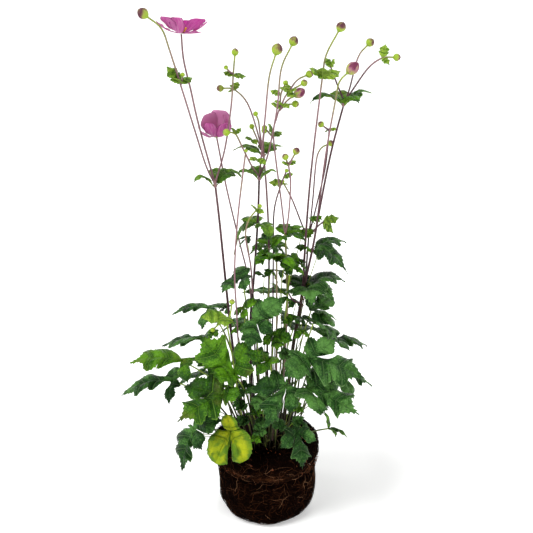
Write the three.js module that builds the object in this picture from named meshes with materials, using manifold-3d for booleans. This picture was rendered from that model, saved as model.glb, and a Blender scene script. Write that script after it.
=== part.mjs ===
// A Japanese anemone lifted out of its pot: a matted root ball, basal leaves in threes,
// tall thin flowering stems with whorls of small leaves, round buds and two open blooms.
// Millimetres, +Z up. The origin is the centre of the flat underside of the root ball, and
// the side that the photograph shows faces -Y.

import * as THREE from 'three';
import { mergeVertices } from 'three/addons/utils/BufferGeometryUtils.js';
import Module from 'manifold-3d';

const wasm = await Module();
wasm.setup();

// Root ball, in the shape of the round pot it grew in.
const SOIL_Z = 110;
const BALL_SIDES = 18;
const BALL_PROFILE = [
  [0, 0], [42, 0], [56, 4], [64, 17], [66, 42], [67, 68],
  [70, 79], [72.5, 92], [71, 105], [65, 111], [54, SOIL_Z], [0, SOIL_Z],
];
const LUMP_FROM_RADIUS = 50;
const LUMP = 1.3;

// Every stem and leaf stalk stands in a plain hole in the soil.
const ROOTED_DEPTH = 9;
const HOLE_DEPTH = 9.4;
const HOLE_CLEARANCE = 0.3;
const HOLE_SIDES = 5;

// Stalks have fewer sides the thinner they are.
const SIDES_BY_RADIUS = [[2.2, 5], [1.5, 4], [0, 3]];
const PETIOLE = [1.4, 0.9];
const ABOVE_SOIL = 3;
const BUD_SIDES = 5;
const BUD_SEAT = 0.8;
const BUD_PROFILE = [[0, 0], [0.46, 0.2], [0.48, 0.62], [0, 1]];
const TUFT = { bow: 0.2, width: 1.5, facing: [0, -0.5, 0.87] };
const COLLAR = { height: 3.4, wall: 0.9, sides: 6 };
const FLOWER = {
  disc: { radius: 4.5, height: 1.8, sides: 10 },
  crown: { foot: [2.7, 4.2], z: 2.8, flare: [5, 6.2], rise: 8, cut: 2, points: 6 },
  dome: { radius: 2.3, sides: 8 },
  petalWidth: 0.95,
};
const STEM_COLOURS = {
  stem_woody: 'woody', stem_mid_green: 'olive', stem_lime: 'fresh', stem_seedhead: 'olive',
};

// Blades: thickness, half width of a bare foot as a share of the blade's length, how deep a foot
// is sunk, and the clearance between a whorl's collar and its stem.
const BLADE_THICKNESS = 0.8;
const FOOT = 0.02;
const SUNK = 1.5;
const CLEARANCE = 0.35;

// Leaflets are fused from their node out to this share of the shorter one. Each keeps within this
// share of the angle to its neighbour's midrib, and within this turn (in radians) of its own.
const FUSED = 0.14;
const SECTOR = 0.46;
const WIDEST_TURN = 1.4;

// Half outlines of a blade from base to tip. Each row holds where it meets the midrib, how far
// along its edge point lies, the half width and the lift of the edge, all as shares of the length.
const CUT_LEAFLET = [
  [0.22, 0.34, 0.42, -0.06], [0.34, 0.41, 0.25, 0.02], [0.5, 0.62, 0.31, -0.05], [0.66, 0.69, 0.17, 0],
];
const SIDE_LEAFLET = [[0.24, 0.3, 0.44, -0.06], [0.4, 0.46, 0.26, 0.01], [0.62, 0.74, 0.24, -0.04]];
const ROUND_LEAFLET = [[0.24, 0.3, 0.44, -0.03], [0.56, 0.7, 0.4, -0.01], [0.82, 0.95, 0.2, -0.02]];
const NARROW_LEAFLET = [[0.28, 0.32, 0.24, -0.04], [0.44, 0.46, 0.15, 0.01], [0.68, 0.72, 0.14, 0]];
const BRACT = [[0.3, 0.42, 0.34, -0.05], [0.46, 0.48, 0.19, 0.02], [0.7, 0.76, 0.15, 0]];
const TUFT_LEAF = [[0.4, 0.48, 0.3, -0.04]];
const PETAL = [[0.3, 0.28, 0.1, 0.01], [0.6, 0.6, 0.42, 0.05], [0.88, 0.94, 0.32, 0.02]];

const COLOURS = {
  soil: [0x2b1a10, 1.0], purple: [0x4a2a33, 0.6], olive: [0x6f7a34, 0.6], woody: [0x4b3524, 0.8],
  deep: [0x2f6b3c, 0.55], fresh: [0x5a9a2a, 0.5], aged: [0xb8bf2c, 0.55],
  petal: [0xb0409a, 0.5], stamen: [0xe8a818, 0.7], carpel: [0x8ea83a, 0.7],
};

// How far out and up a leaf stalk has come at its bend. A whorl's leaf has a bare foot, and rises
// steeply to the share of its way where it turns over.
const PETIOLE_BEND = { out: 0.42, up: 0.66 };
const WHORL_BARE = 1.5;
const WHORL_PEAK = 0.36;

// Basal leaves: the place of the stalk in the soil, the leaf's node, then the tips of the middle
// leaflet and of the two beside it. Those towards -Y follow the photograph.
const LEAVES = {
  leaf_left_high: {
    root: [-32, -14], node: [-110, -38, 238], colour: 'fresh', lean: 0.7,
    tips: [[-177, -46, 237], [-101, -62, 216], [-82, -14, 224]], bow: 0.22,
  },
  leaf_left_low: {
    root: [-37, -3], node: [-127, -6, 194],
    tips: [[-196, -12, 173], [-130, -32, 170], [-126, 24, 200]], bow: 0.24,
  },
  leaf_left_top: {
    root: [-27, 4], node: [-75, 0, 297], tips: [[-124, -10, 290], [-84, -30, 277], [-46, 20, 290]], bow: 0.24,
  },
  leaf_front_fresh: {
    root: [-14, -34], node: [-41, -62, 229], colour: 'fresh', lean: 1.6, width: 1.1,
    tips: [[-84, -60, 282], [-22, -54, 274], [-67, -84, 236]],
  },
  leaf_front_left: {
    root: [-25, -33], node: [-56, -72, 205], colour: 'fresh', lean: 1,
    tips: [[-113, -98, 179], [-32, -94, 215], [-108, -52, 206]],
  },
  leaf_left_hang: {
    root: [-40, -22], node: [-97, -50, 145], lean: 1.2,
    tips: [[-111, -72, 93], [-84, -78, 128], [-58, -64, 164]],
  },
  leaf_front_aged: {
    root: [-22, -44], node: [-47, -78, 156], colour: 'aged', outline: ROUND_LEAFLET, lean: 1.4, bow: 0.1,
    tips: [[-66, -96, 119], [-29, -97, 122], [-50, -76, 178]],
  },
  leaf_centre_big: {
    root: [4, -41], node: [26, -66, 216], lean: 1.2,
    tips: [[-3, -108, 175], [-20, -68, 210], [30, -104, 194]],
  },
  leaf_right_big: {
    root: [22, -37], node: [54, -62, 208], lean: 1, width: 1.1,
    tips: [[117, -97, 188], [68, -110, 194], [98, -44, 216]],
  },
  leaf_right_mid: {
    root: [27, -24], node: [54, -46, 244], lean: 0.9, width: 1.1,
    tips: [[127, -58, 221], [22, -82, 234], [90, -34, 264]],
  },
  leaf_right_back: {
    root: [39, -4], node: [92, 6, 205], tips: [[144, 4, 180], [116, -34, 178], [120, 44, 192]],
  },
  leaf_centre_high: {
    root: [-8, -28], node: [-14, -46, 298], lean: 1.4,
    tips: [[-22, -72, 264], [23, -42, 325], [8, -68, 288]],
  },
  leaf_centre_mid: {
    root: [4, -29], node: [10, -34, 276], lean: 1.3, colour: 'fresh',
    tips: [[14, -58, 258], [-5, -42, 260], [34, -42, 266]],
  },
  leaf_right_high: {
    root: [33, 8], node: [60, 10, 291], lean: 0.9, tips: [[94, -6, 280], [92, 36, 298], [58, 36, 312]],
  },
  leaf_right_narrow: {
    root: [36, -14], node: [62, -14, 282], lean: 0.9,
    tips: [[95, -22, 255], [72, -42, 282], [92, 10, 272]], bow: 0.26,
  },
  leaf_centre_dark: {
    root: [-18, -1], node: [-31, -18, 346],
    tips: [[-57, -50, 333], [-38, 10, 350], [-26, -48, 338]], bow: 0.2,
  },
  leaf_low_right: {
    root: [16, -45], node: [40, -80, 156], lean: 1.4, tips: [[46, -104, 115], [18, -98, 142], [64, -90, 148]],
  },
  leaf_twisted: {
    root: [50, -14], node: [86, -22, 130], colour: 'fresh', outline: NARROW_LEAFLET, lean: 0.9,
    tips: [[109, -30, 120], [76, -14, 152], [92, -44, 128]], bow: 0.3,
  },
  leaf_curled: {
    root: [11, -33], node: [4, -60, 248], colour: 'fresh', outline: NARROW_LEAFLET, lean: 1.2,
    tips: [[-28, -82, 266], [16, -88, 256], [-14, -92, 240]],
  },
  leaf_mid_left: {
    root: [-20, -16], node: [-30, -28, 308], colour: 'fresh', lean: 1,
    tips: [[-43, -32, 297], [-11, -36, 321], [-27, -46, 298]],
  },
  leaf_mid_right: {
    root: [19, -18], node: [31, -14, 362], colour: 'fresh', lean: 1,
    tips: [[48, -30, 351], [25, -38, 355], [40, 6, 370]],
  },
  leaf_left_inner: {
    root: [-41, -10], node: [-80, 0, 212], colour: 'fresh', lean: 0.9,
    tips: [[-94, -10, 198], [-68, -18, 196], [-96, 14, 222]],
  },
  leaf_centre_low: {
    root: [-3, -36], node: [-8, -52, 200], lean: 1.4,
    tips: [[-14, -66, 176], [6, -60, 194], [-22, -58, 208]],
  },
  leaf_right_inner: {
    root: [41, -20], node: [66, -18, 200], lean: 1,
    tips: [[84, -26, 206], [60, -14, 218], [72, -40, 190]],
  },
  leaf_back_left_low: {
    root: [-36, 18], node: [-84, 62, 176], tips: [[-122, 104, 138], [-56, 96, 150], [-126, 52, 160]],
  },
  leaf_back_low: {
    root: [-10, 40], node: [-14, 96, 182], tips: [[-20, 150, 146], [24, 112, 166], [-60, 112, 160]],
  },
  leaf_back_right_low: {
    root: [32, 24], node: [76, 70, 172], tips: [[110, 112, 134], [112, 54, 150], [52, 104, 150]],
  },
  leaf_back_left_mid: {
    root: [-30, 12], node: [-86, 30, 240], tips: [[-146, 48, 220], [-84, 74, 226], [-116, -2, 246]],
  },
  leaf_back_mid: {
    root: [-20, 28], node: [-34, 70, 246], tips: [[-60, 122, 226], [8, 92, 240], [-66, 60, 236]],
  },
  leaf_back_right_mid: {
    root: [14, 34], node: [38, 68, 240], tips: [[56, 122, 218], [88, 68, 230], [14, 96, 262]],
  },
  leaf_right_behind: {
    root: [36, 14], node: [88, 36, 238], tips: [[142, 58, 216], [112, 4, 232], [92, 82, 236]],
  },
  leaf_back_high: {
    root: [0, 32], node: [2, 52, 300], tips: [[4, 104, 282], [44, 46, 300], [-36, 62, 294]],
  },
};

// Flowering stems: where they stand in the soil, then shoots with their radii, each ending bare,
// in a bud of the given width and length, or in a bloom. Tufts are the little leaves at a joint.
const STEMS = {
  stem_left: {
    root: [-24, -8],
    shoots: [
      {
        path: [[-38, -9, 181], [-45, -11, 247], [-51, -14, 314], [-59, -20, 416], [-64, -25, 472]],
        radii: [1.9, 1.4],
      },
      {
        path: [
          [-64, -25, 470], [-74, -30, 493], [-85, -36, 533], [-101, -50, 595],
          [-112, -58, 636], [-120, -62, 660], [-136, -66, 674],
        ],
        radii: [1.1, 0.7], bud: [12.5, 13],
      },
      {
        path: [[-64, -25, 470], [-83, -18, 542], [-92, -14, 584], [-100, -11, 620], [-102, -10, 650]],
        radii: [1.2, 1.1],
      },
      {
        path: [[-64, -25, 470], [-52, -12, 510], [-44, 2, 560], [-41, 11, 600], [-39, 16, 623]],
        radii: [1.1, 0.7], bud: [8.5, 9],
      },
      { path: [[-101, -50, 595], [-99, -53, 601], [-98, -55, 606]], radii: [0.6, 0.5], bud: [5, 5] },
      { path: [[-41, 12, 600], [-46, 8, 604], [-49, 5, 608]], radii: [0.6, 0.5], bud: [5, 5] },
    ],
    tufts: [
      { at: [-101, -50, 596], tips: [[-117, -50, 616], [-87, -41, 602], [-106, -66, 604]] },
      { at: [-41, 10, 598], tips: [[-25, 16, 596], [-54, 14, 602]] },
    ],
  },
  stem_low_bloom: {
    root: [-8, 18],
    shoots: [
      {
        path: [
          [-19, 30, 267], [-24, 30, 325], [-38, 28, 388], [-52, 22, 455], [-63, 15, 521],
        ],
        radii: [1.2, 0.9],
      },
    ],
  },
  stem_seedhead: {
    root: [-19, -27],
    shoots: [
      {
        path: [
          [-33, -42, 210], [-38, -46, 306], [-40, -46, 363],
          [-36, -44, 426], [-29, -42, 485], [-25, -42, 514],
        ],
        radii: [1.1, 0.7], bud: [4.5, 4],
      },
    ],
  },
  stem_mid_dark: {
    root: [-12, -8],
    shoots: [
      {
        path: [[-20, -12, 197], [-21, -16, 282], [-16, -18, 348], [-11, -18, 422], [-9, -16, 479]],
        radii: [1.8, 1.3],
      },
      {
        path: [[-9, -16, 477], [-17, -24, 490], [-29, -39, 518], [-37, -47, 536], [-45, -52, 539]],
        radii: [0.9, 0.6], bud: [8.5, 9],
      },
      {
        path: [[-9, -16, 477], [-2, -24, 549], [3, -29, 600], [11, -31, 629]],
        radii: [1.1, 0.8], bud: [13, 13.5],
      },
      {
        path: [[-9, -16, 477], [2, -12, 505], [13, -6, 560], [18, 2, 607], [31, 6, 636]],
        radii: [1.1, 0.7], bud: [11.5, 12],
      },
      {
        path: [[-18, -17, 320], [-20, -28, 363], [-26, -40, 405], [-22, -43, 428], [-9, -43, 445]],
        radii: [0.8, 0.6], bud: [5, 5],
      },
    ],
    tufts: [
      { at: [-37, -47, 536], tips: [[-40, -56, 545], [-30, -44, 543]] },
      { at: [-13, -43, 441], tips: [[-18, -54, 450], [-2, -48, 438]] },
    ],
  },
  stem_mid_pink: {
    root: [4, 22],
    shoots: [
      { path: [[1, 26, 209], [3, 28, 297], [3, 28, 381], [0, 26, 450], [-4, 24, 500]], radii: [1.5, 1.2] },
      {
        path: [[-4, 24, 498], [-17, 36, 542], [-27, 41, 564], [-42, 45, 577], [-56, 47, 578]],
        radii: [0.9, 0.6], bud: [8.5, 9],
      },
      { path: [[-4, 24, 498], [-8, 16, 524], [-10, 10, 542], [-13, 4, 551]], radii: [0.7, 0.5], bud: [6, 6] },
      { path: [[-4, 24, 498], [-12, 34, 515], [-18, 40, 528]], radii: [0.7, 0.5], bud: [6.5, 7] },
      { path: [[-4, 24, 498], [-4, 24, 514], [-3, 24, 525]], radii: [0.7, 0.5], bud: [7, 7.5] },
    ],
    tufts: [{ at: [-41, 45, 576], tips: [[-36, 52, 586], [-44, 34, 584], [-50, 54, 572]] }],
  },
  stem_mid_green: {
    root: [13, -8],
    shoots: [
      { path: [[22, -8, 195], [27, -12, 297], [26, -12, 352], [24, -10, 401]], radii: [1.5, 1.2] },
      {
        path: [[24, -10, 399], [19, -2, 440], [9, 14, 520], [13, 16, 546], [17, 17, 558]],
        radii: [1, 0.8],
      },
      { path: [[16, 17, 554], [24, 18, 561], [33, 19, 562]], radii: [0.6, 0.5], bud: [8.5, 9] },
      { path: [[16, 17, 554], [26, 22, 566], [36, 25, 572]], radii: [0.7, 0.6], bud: [12.5, 15.5] },
      { path: [[17, 17, 556], [26, 15, 576], [44, 10, 588]], radii: [0.7, 0.5], bud: [8.5, 8.5] },
      { path: [[26, 15, 576], [38, 16, 592], [50, 17, 598]], radii: [0.6, 0.5], bud: [9, 9.5] },
      { path: [[17, 17, 556], [18, 20, 574], [23, 22, 586]], radii: [0.6, 0.5], bud: [6.5, 6.5] },
      { path: [[9, 14, 520], [-1, 10, 532]], radii: [0.6, 0.5], bud: [7, 7] },
      { path: [[24, -10, 399], [28, -16, 428], [30, -23, 470], [27, -26, 495]], radii: [0.9, 0.7] },
      { path: [[27, -26, 493], [24, -28, 502]], radii: [0.6, 0.5], bud: [8, 8] },
      { path: [[27, -26, 493], [35, -29, 509]], radii: [0.6, 0.5], bud: [8.5, 9] },
    ],
    tufts: [
      { at: [17, 17, 557], tips: [[5, 10, 564], [14, 32, 560]] },
      { at: [18, 20, 573], tips: [[4, 24, 578]] },
      { at: [9, 14, 522], tips: [[2, 4, 540], [20, 24, 526]] },
      { at: [27, -26, 494], tips: [[37, -20, 498], [18, -32, 498]] },
    ],
  },
  stem_thin: {
    root: [4, 6],
    shoots: [
      {
        path: [[8, 9, 260], [9, 9, 373], [10, 10, 427], [19, 9, 462], [25, 8, 478]],
        radii: [1, 0.6], bud: [5, 5],
      },
    ],
    tufts: [{ at: [22, 8, 470], tips: [[35, 4, 476]] }],
  },
  stem_woody: {
    root: [22, 6],
    shoots: [
      { path: [[30, 4, 182], [36, 4, 241], [43, 4, 284], [49, 4, 328]], radii: [2.7, 2.2] },
      {
        path: [
          [49, 4, 322], [49, -2, 361], [53, -12, 446], [58, -18, 511],
          [67, -24, 600], [71, -30, 628], [85, -34, 656],
        ],
        radii: [1.6, 0.8], bud: [11.5, 12],
      },
      {
        path: [[49, 4, 325], [60, 13, 372], [70, 20, 431], [83, 26, 500], [99, 29, 565]],
        radii: [1.6, 1.2],
      },
      {
        path: [[99, 29, 563], [105, 32, 580], [115, 37, 618], [127, 39, 633]],
        radii: [0.9, 0.6], bud: [10.5, 10.5],
      },
      { path: [[99, 29, 563], [90, 38, 583], [81, 46, 606]], radii: [0.7, 0.5] },
      {
        path: [[99, 29, 563], [109, 22, 581], [126, 12, 608], [142, 8, 620], [156, 6, 621]],
        radii: [1, 0.6], bud: [9, 9],
      },
      {
        path: [
          [49, 3, 320], [58, -14, 376], [63, -24, 417], [72, -38, 509],
          [82, -45, 577], [86, -46, 598], [96, -46, 609],
        ],
        radii: [1.2, 0.8], bud: [14, 17],
      },
      { path: [[49, 4, 320], [52, 12, 342], [54, 22, 362], [56, 32, 387]], radii: [1.3, 1.1] },
      {
        path: [[56, 32, 385], [61, 40, 433], [65, 45, 484], [71, 44, 501], [81, 42, 507]],
        radii: [0.8, 0.5], bud: [8, 8],
      },
      { path: [[56, 32, 385], [66, 39, 395], [76, 45, 402]], radii: [0.7, 0.5] },
      { path: [[56, 32, 385], [69, 47, 435], [78, 54, 477], [82, 56, 525]], radii: [0.9, 0.6] },
      { path: [[82, 56, 522], [73, 54, 529]], radii: [0.6, 0.5], bud: [8, 8] },
      { path: [[56, 32, 385], [49, 34, 396], [34, 40, 433], [22, 42, 456]], radii: [0.8, 0.6], bud: [5, 5] },
      { path: [[46, 3, 302], [36, 0, 306], [29, -2, 318], [28, -3, 330], [32, -4, 332]], radii: [1, 0.7] },
    ],
    tufts: [
      { at: [82, 46, 604], tips: [[74, 50, 616], [86, 40, 616]] },
      { at: [56, 32, 386], tips: [[50, 60, 388]] },
      { at: [75, 45, 401], tips: [[98, 48, 406], [90, 46, 385]] },
      { at: [67, -24, 599], tips: [[50, -34, 612], [90, -12, 606], [66, -44, 614]] },
      { at: [142, 8, 620], tips: [[146, 14, 636], [150, 0, 612]] },
      { at: [82, 56, 523], tips: [[92, 50, 524], [78, 66, 518]] },
      { at: [23, 42, 454], tips: [[2, 44, 455], [26, 54, 450]] },
    ],
  },
  stem_young: {
    root: [8, -18],
    shoots: [{ path: [[13, -22, 200], [13, -22, 374]], radii: [1.4, 1.1] }],
  },
  stem_lime: {
    root: [-28, -22],
    shoots: [
      { path: [[-36, -40, 180], [-46, -46, 260], [-52, -48, 302]], radii: [1.1, 0.9] },
      { path: [[-50, -47, 290], [-46, -48, 306], [-44, -48, 320]], radii: [0.7, 0.5], bud: [7, 7] },
      { path: [[-52, -48, 300], [-67, -54, 288]], radii: [0.6, 0.5], bud: [6, 6] },
    ],
    tufts: [{ at: [-52, -48, 302], tips: [[-84, -56, 304], [-52, -74, 298]] }],
  },
};

// Whorls of larger leaves: the joint they grow from, the way the stem runs there, its radius,
// and a leaf to each tip.
const WHORLS = {
  whorl_left: {
    stem: 'stem_left', at: [-64, -25, 470], along: [-5, -5, 50], radius: 1.4,
    tips: [[-90, -38, 473], [-30, -8, 471], [-56, 8, 474]], bow: 0.8,
  },
  whorl_dark_top: {
    stem: 'stem_mid_dark', at: [-9, -16, 477], along: [2, 2, 52], radius: 1.3,
    tips: [[-36, -32, 484], [12, -30, 486], [-16, 14, 481]], bow: 0.5,
  },
  whorl_dark_low: {
    stem: 'stem_mid_dark', at: [-11.5, -18, 416], along: [5, 0, 74], radius: 1.45,
    tips: [[-42, -16, 375], [7, -46, 400], [-26, 18, 400]], bow: 0.6,
  },
  whorl_pink: {
    stem: 'stem_mid_pink', at: [-4, 24, 498], along: [-4, -2, 50], radius: 1.2,
    tips: [[-43, 34, 500], [22, 34, 505], [4, 56, 505]], bow: 0.45,
  },
  whorl_pink_low: {
    stem: 'stem_mid_pink', at: [3, 28, 374], along: [0, 0, 1], radius: 1.35, colour: 'fresh',
    outline: CUT_LEAFLET, tips: [[-22, 12, 366], [30, 14, 372], [0, 60, 372]], bow: 0.45,
  },
  whorl_green: {
    stem: 'stem_mid_green', at: [24, -10, 399], along: [-3, 0, 49], radius: 1.2, colour: 'fresh',
    tips: [[6, -38, 388], [50, -32, 396], [50, 14, 402], [22, 26, 402]], bow: 0.4,
  },
  whorl_woody: {
    stem: 'stem_woody', at: [48, 4, 318], along: [6, 0, 44], radius: 2.3, outline: CUT_LEAFLET,
    tips: [[89, -26, 312], [58, -50, 316], [104, 12, 328], [42, 50, 318]], bow: 0.6,
  },
  whorl_woody_high: {
    stem: 'stem_woody', at: [60, 13, 374], along: [5, 6, 28], radius: 1.6, outline: CUT_LEAFLET,
    tips: [[106, -8, 345], [106, 26, 378]], bow: 0.4,
  },
  whorl_red: {
    stem: 'stem_woody', at: [98, 29, 562], along: [12, 2, 43], radius: 1.3,
    tips: [[54, 12, 564], [134, 42, 572], [92, 66, 568], [114, -6, 566]], bow: 0.5,
  },
  whorl_young: {
    stem: 'stem_young', at: [13, -22, 372], along: [0, 0, 1], radius: 1.1, colour: 'fresh',
    tips: [[-16, -50, 374], [36, -52, 366], [6, -62, 384]], bow: 0.4,
  },
};

// Blooms: where the stem ends, the way the bloom faces, and its petals in two layers, each with its
// turn about that line, the reach and rise of its tip, and how far its middle bellies out and dips.
const BLOOMS = {
  high: {
    at: [-102, -10, 650], facing: [0.1, 0.06, 0.99],
    petals: [
      { turn: 182, reach: 31, rise: 12, belly: 20, dip: 0 },
      { turn: 222, reach: 27, rise: 18, belly: 17, dip: 4 },
      { turn: 264, reach: 25, rise: 19, belly: 20, dip: 0 },
      { turn: 318, reach: 28, rise: 5, belly: 17, dip: 1 },
      { turn: 2, reach: 30, rise: 17, belly: 18, dip: 2 },
      { turn: 46, reach: 29, rise: 20, belly: 16, dip: 5 },
      { turn: 90, reach: 28, rise: 16, belly: 17, dip: 1 },
      { turn: 136, reach: 28, rise: 18, belly: 16, dip: 5 },
    ],
  },
  low: {
    at: [-63, 15, 521], facing: [-0.06, -0.1, 0.98],
    petals: [
      { turn: 190, reach: 22, rise: 15, belly: 20, dip: 1 },
      { turn: 250, reach: 12, rise: 26, belly: 16, dip: 4 },
      { turn: 310, reach: 19, rise: 22, belly: 20, dip: 1 },
      { turn: 10, reach: 12, rise: 27, belly: 16, dip: 4 },
      { turn: 70, reach: 15, rise: 31, belly: 20, dip: 1 },
      { turn: 130, reach: 12, rise: 29, belly: 16, dip: 4 },
    ],
  },
};

const UP = new THREE.Vector3(0, 0, 1);
const group = new THREE.Group();
const roots = [];

function material(colour) {
  const [color, roughness] = COLOURS[colour];
  return new THREE.MeshStandardMaterial({ color, roughness, metalness: 0 });
}

function vector(point) {
  return new THREE.Vector3(...point);
}

// Closed geometry as a solid: shared corners merged, collapsed triangles dropped, faces outward.
function solid(geometry) {
  const bare = new THREE.BufferGeometry();
  bare.setAttribute('position', geometry.getAttribute('position').clone());
  if (geometry.index) bare.setIndex(geometry.index);
  const merged = mergeVertices(bare, 1e-3);
  const place = merged.getAttribute('position');
  const index = merged.index.array;
  const corner = (i) => new THREE.Vector3().fromBufferAttribute(place, i);
  const kept = [];
  let volume = 0;
  for (let i = 0; i < index.length; i += 3) {
    const [a, b, c] = index.slice(i, i + 3);
    if (a === b || b === c || c === a) continue;
    kept.push([a, b, c]);
    volume += corner(a).dot(corner(b).cross(corner(c)));
  }
  const triVerts = new Uint32Array(kept.flatMap(([a, b, c]) => (volume > 0 ? [a, b, c] : [a, c, b])));
  return new wasm.Manifold(
    new wasm.Mesh({ numProp: 3, vertProperties: new Float32Array(place.array), triVerts }),
  );
}

function join(solids) {
  return solids.reduce((whole, next) => whole.add(next));
}

function addNode(name, whole, colour) {
  const { vertProperties, triVerts, numProp } = whole.getMesh();
  const place = new Float32Array(vertProperties.length / numProp * 3);
  for (let i = 0; i < place.length; i += 1) {
    place[i] = vertProperties[Math.floor(i / 3) * numProp + (i % 3)];
  }
  const geometry = new THREE.BufferGeometry();
  geometry.setAttribute('position', new THREE.BufferAttribute(place, 3));
  geometry.setIndex(new THREE.BufferAttribute(new Uint32Array(triVerts), 1));
  geometry.computeVertexNormals();
  const mesh = new THREE.Mesh(geometry, material(colour));
  mesh.name = name;
  group.add(mesh);
}

// A smooth curve that is stepped from point to point, so that every point carries a ring.
class StalkPath extends THREE.CatmullRomCurve3 {
  constructor(points) {
    super(points.map(vector), false, 'catmullrom', 0.5);
  }

  getUtoTmapping(share) {
    return share;
  }
}

// A tapering stalk: a polygon extruded along the path, each ring then drawn in to its radius.
function stalk(points, [thick, thin]) {
  const path = new StalkPath(points);
  const steps = points.length - 1;
  const count = SIDES_BY_RADIUS.find(([radius]) => thick >= radius)[1];
  const corners = Array.from({ length: count }, (_, k) => {
    const turn = (k / count) * 2 * Math.PI;
    return new THREE.Vector2(Math.cos(turn), Math.sin(turn));
  });
  const shape = new THREE.Shape(corners);
  const geometry = new THREE.ExtrudeGeometry(shape, { steps, bevelEnabled: false, extrudePath: path });
  const place = geometry.getAttribute('position');
  const rings = path.points;
  const point = new THREE.Vector3();
  for (let i = 0; i < place.count; i += 1) {
    point.fromBufferAttribute(place, i);
    const away = rings.map((ring) => ring.distanceToSquared(point));
    const k = away.indexOf(Math.min(...away));
    const radius = THREE.MathUtils.lerp(thick, thin, k / steps);
    point.sub(rings[k]).multiplyScalar(radius).add(rings[k]);
    place.setXYZ(i, point.x, point.y, point.z);
  }
  return solid(geometry);
}

// A closed thin sheet from spots with their ways up, the triangles between them and the rim in
// order. Both faces are split into the same triangles.
function sheet(spots, faces, rim) {
  const total = spots.length;
  const index = faces.flatMap(([a, b, c]) => [a, b, c, a + total, c + total, b + total]);
  rim.forEach((i, k) => {
    const j = rim[(k + 1) % rim.length];
    index.push(j, i, i + total, j, i + total, j + total);
  });
  const offset = ({ point, up }, half) => point.clone().addScaledVector(up, half).toArray();
  const half = BLADE_THICKNESS / 2;
  const place = [...spots.flatMap((at) => offset(at, half)), ...spots.flatMap((at) => offset(at, -half))];
  const geometry = new THREE.BufferGeometry();
  geometry.setAttribute('position', new THREE.Float32BufferAttribute(place, 3));
  geometry.setIndex(index);
  return solid(geometry);
}

// Gives places on a leaf that lies along a midrib and faces as near to `face` as that allows.
function lie(midrib, face) {
  const length = midrib.getLength();
  return (share, across, lift) => {
    const t = THREE.MathUtils.clamp(share, 0, 1);
    const along = midrib.getTangent(t);
    const up = face.clone().addScaledVector(along, -face.dot(along)).normalize();
    const point = midrib.getPoint(t).addScaledVector(along, Math.min(share, 0) * length);
    point.addScaledVector(along.clone().cross(up), across * length);
    return { point: point.addScaledVector(up, lift * length), up };
  };
}

// Triangles from a midrib out to an edge, both held from base to tip. `hand` is the edge's side.
function strip(middle, edge, hand) {
  const faces = [];
  for (let i = 0; i + 1 < middle.length; i += 1) {
    const [near, far, a, b] = [middle[i], middle[i + 1], edge[i], edge[i + 1]];
    faces.push(...(hand > 0 ? [[near, a, far], [a, b, far]] : [[near, far, a], [a, far, b]]));
  }
  return faces;
}

// A single blade along a midrib, with a bare foot or none.
function blade(midrib, shape, face, { bare = 0, width = 1 } = {}) {
  const rest = 1 - bare;
  const rows = shape.map(([u, a, w, lift]) => [bare + u * rest, bare + a * rest, w * rest, lift * rest]);
  const outline = bare > 0 ? [[bare, bare, FOOT / width, 0], ...rows] : rows;
  const spot = lie(midrib, face);
  const count = outline.length;
  const edge = (hand) => outline.map(([, a, w, lift]) => spot(a, hand * w * width, lift));
  const spots = [
    spot(0, 0, 0), spot(1, 0, 0), ...outline.map(([u]) => spot(u, 0, 0)), ...edge(1), ...edge(-1),
  ];
  const run = (first) => outline.map((_, i) => first + i);
  const [middle, right, left] = [2, 2 + count, 2 + 2 * count].map((first) => [0, ...run(first), 1]);
  const rim = [...right, ...left.slice(1, -1).reverse()];
  return sheet(spots, [...strip(middle, right, 1), ...strip(middle, left, -1)], rim);
}

// The leaflets of a leaf in order round its node, starting beside the widest gap.
function inOrder(leaflets, face) {
  const across = new THREE.Vector3(1, 0, 0).cross(face).normalize();
  const beyond = face.clone().cross(across);
  for (const leaflet of leaflets) {
    const way = leaflet.midrib.v2.clone().sub(leaflet.midrib.v0);
    leaflet.turn = Math.atan2(way.dot(beyond), way.dot(across));
  }
  leaflets.sort((a, b) => a.turn - b.turn);
  leaflets.forEach((leaflet, i) => {
    const next = leaflets[(i + 1) % leaflets.length];
    leaflet.gap = THREE.MathUtils.euclideanModulo(next.turn - leaflet.turn, 2 * Math.PI);
  });
  const widest = leaflets.indexOf(leaflets.reduce((a, b) => (b.gap > a.gap ? b : a)));
  return [...leaflets.slice(widest + 1), ...leaflets.slice(0, widest + 1)];
}

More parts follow.
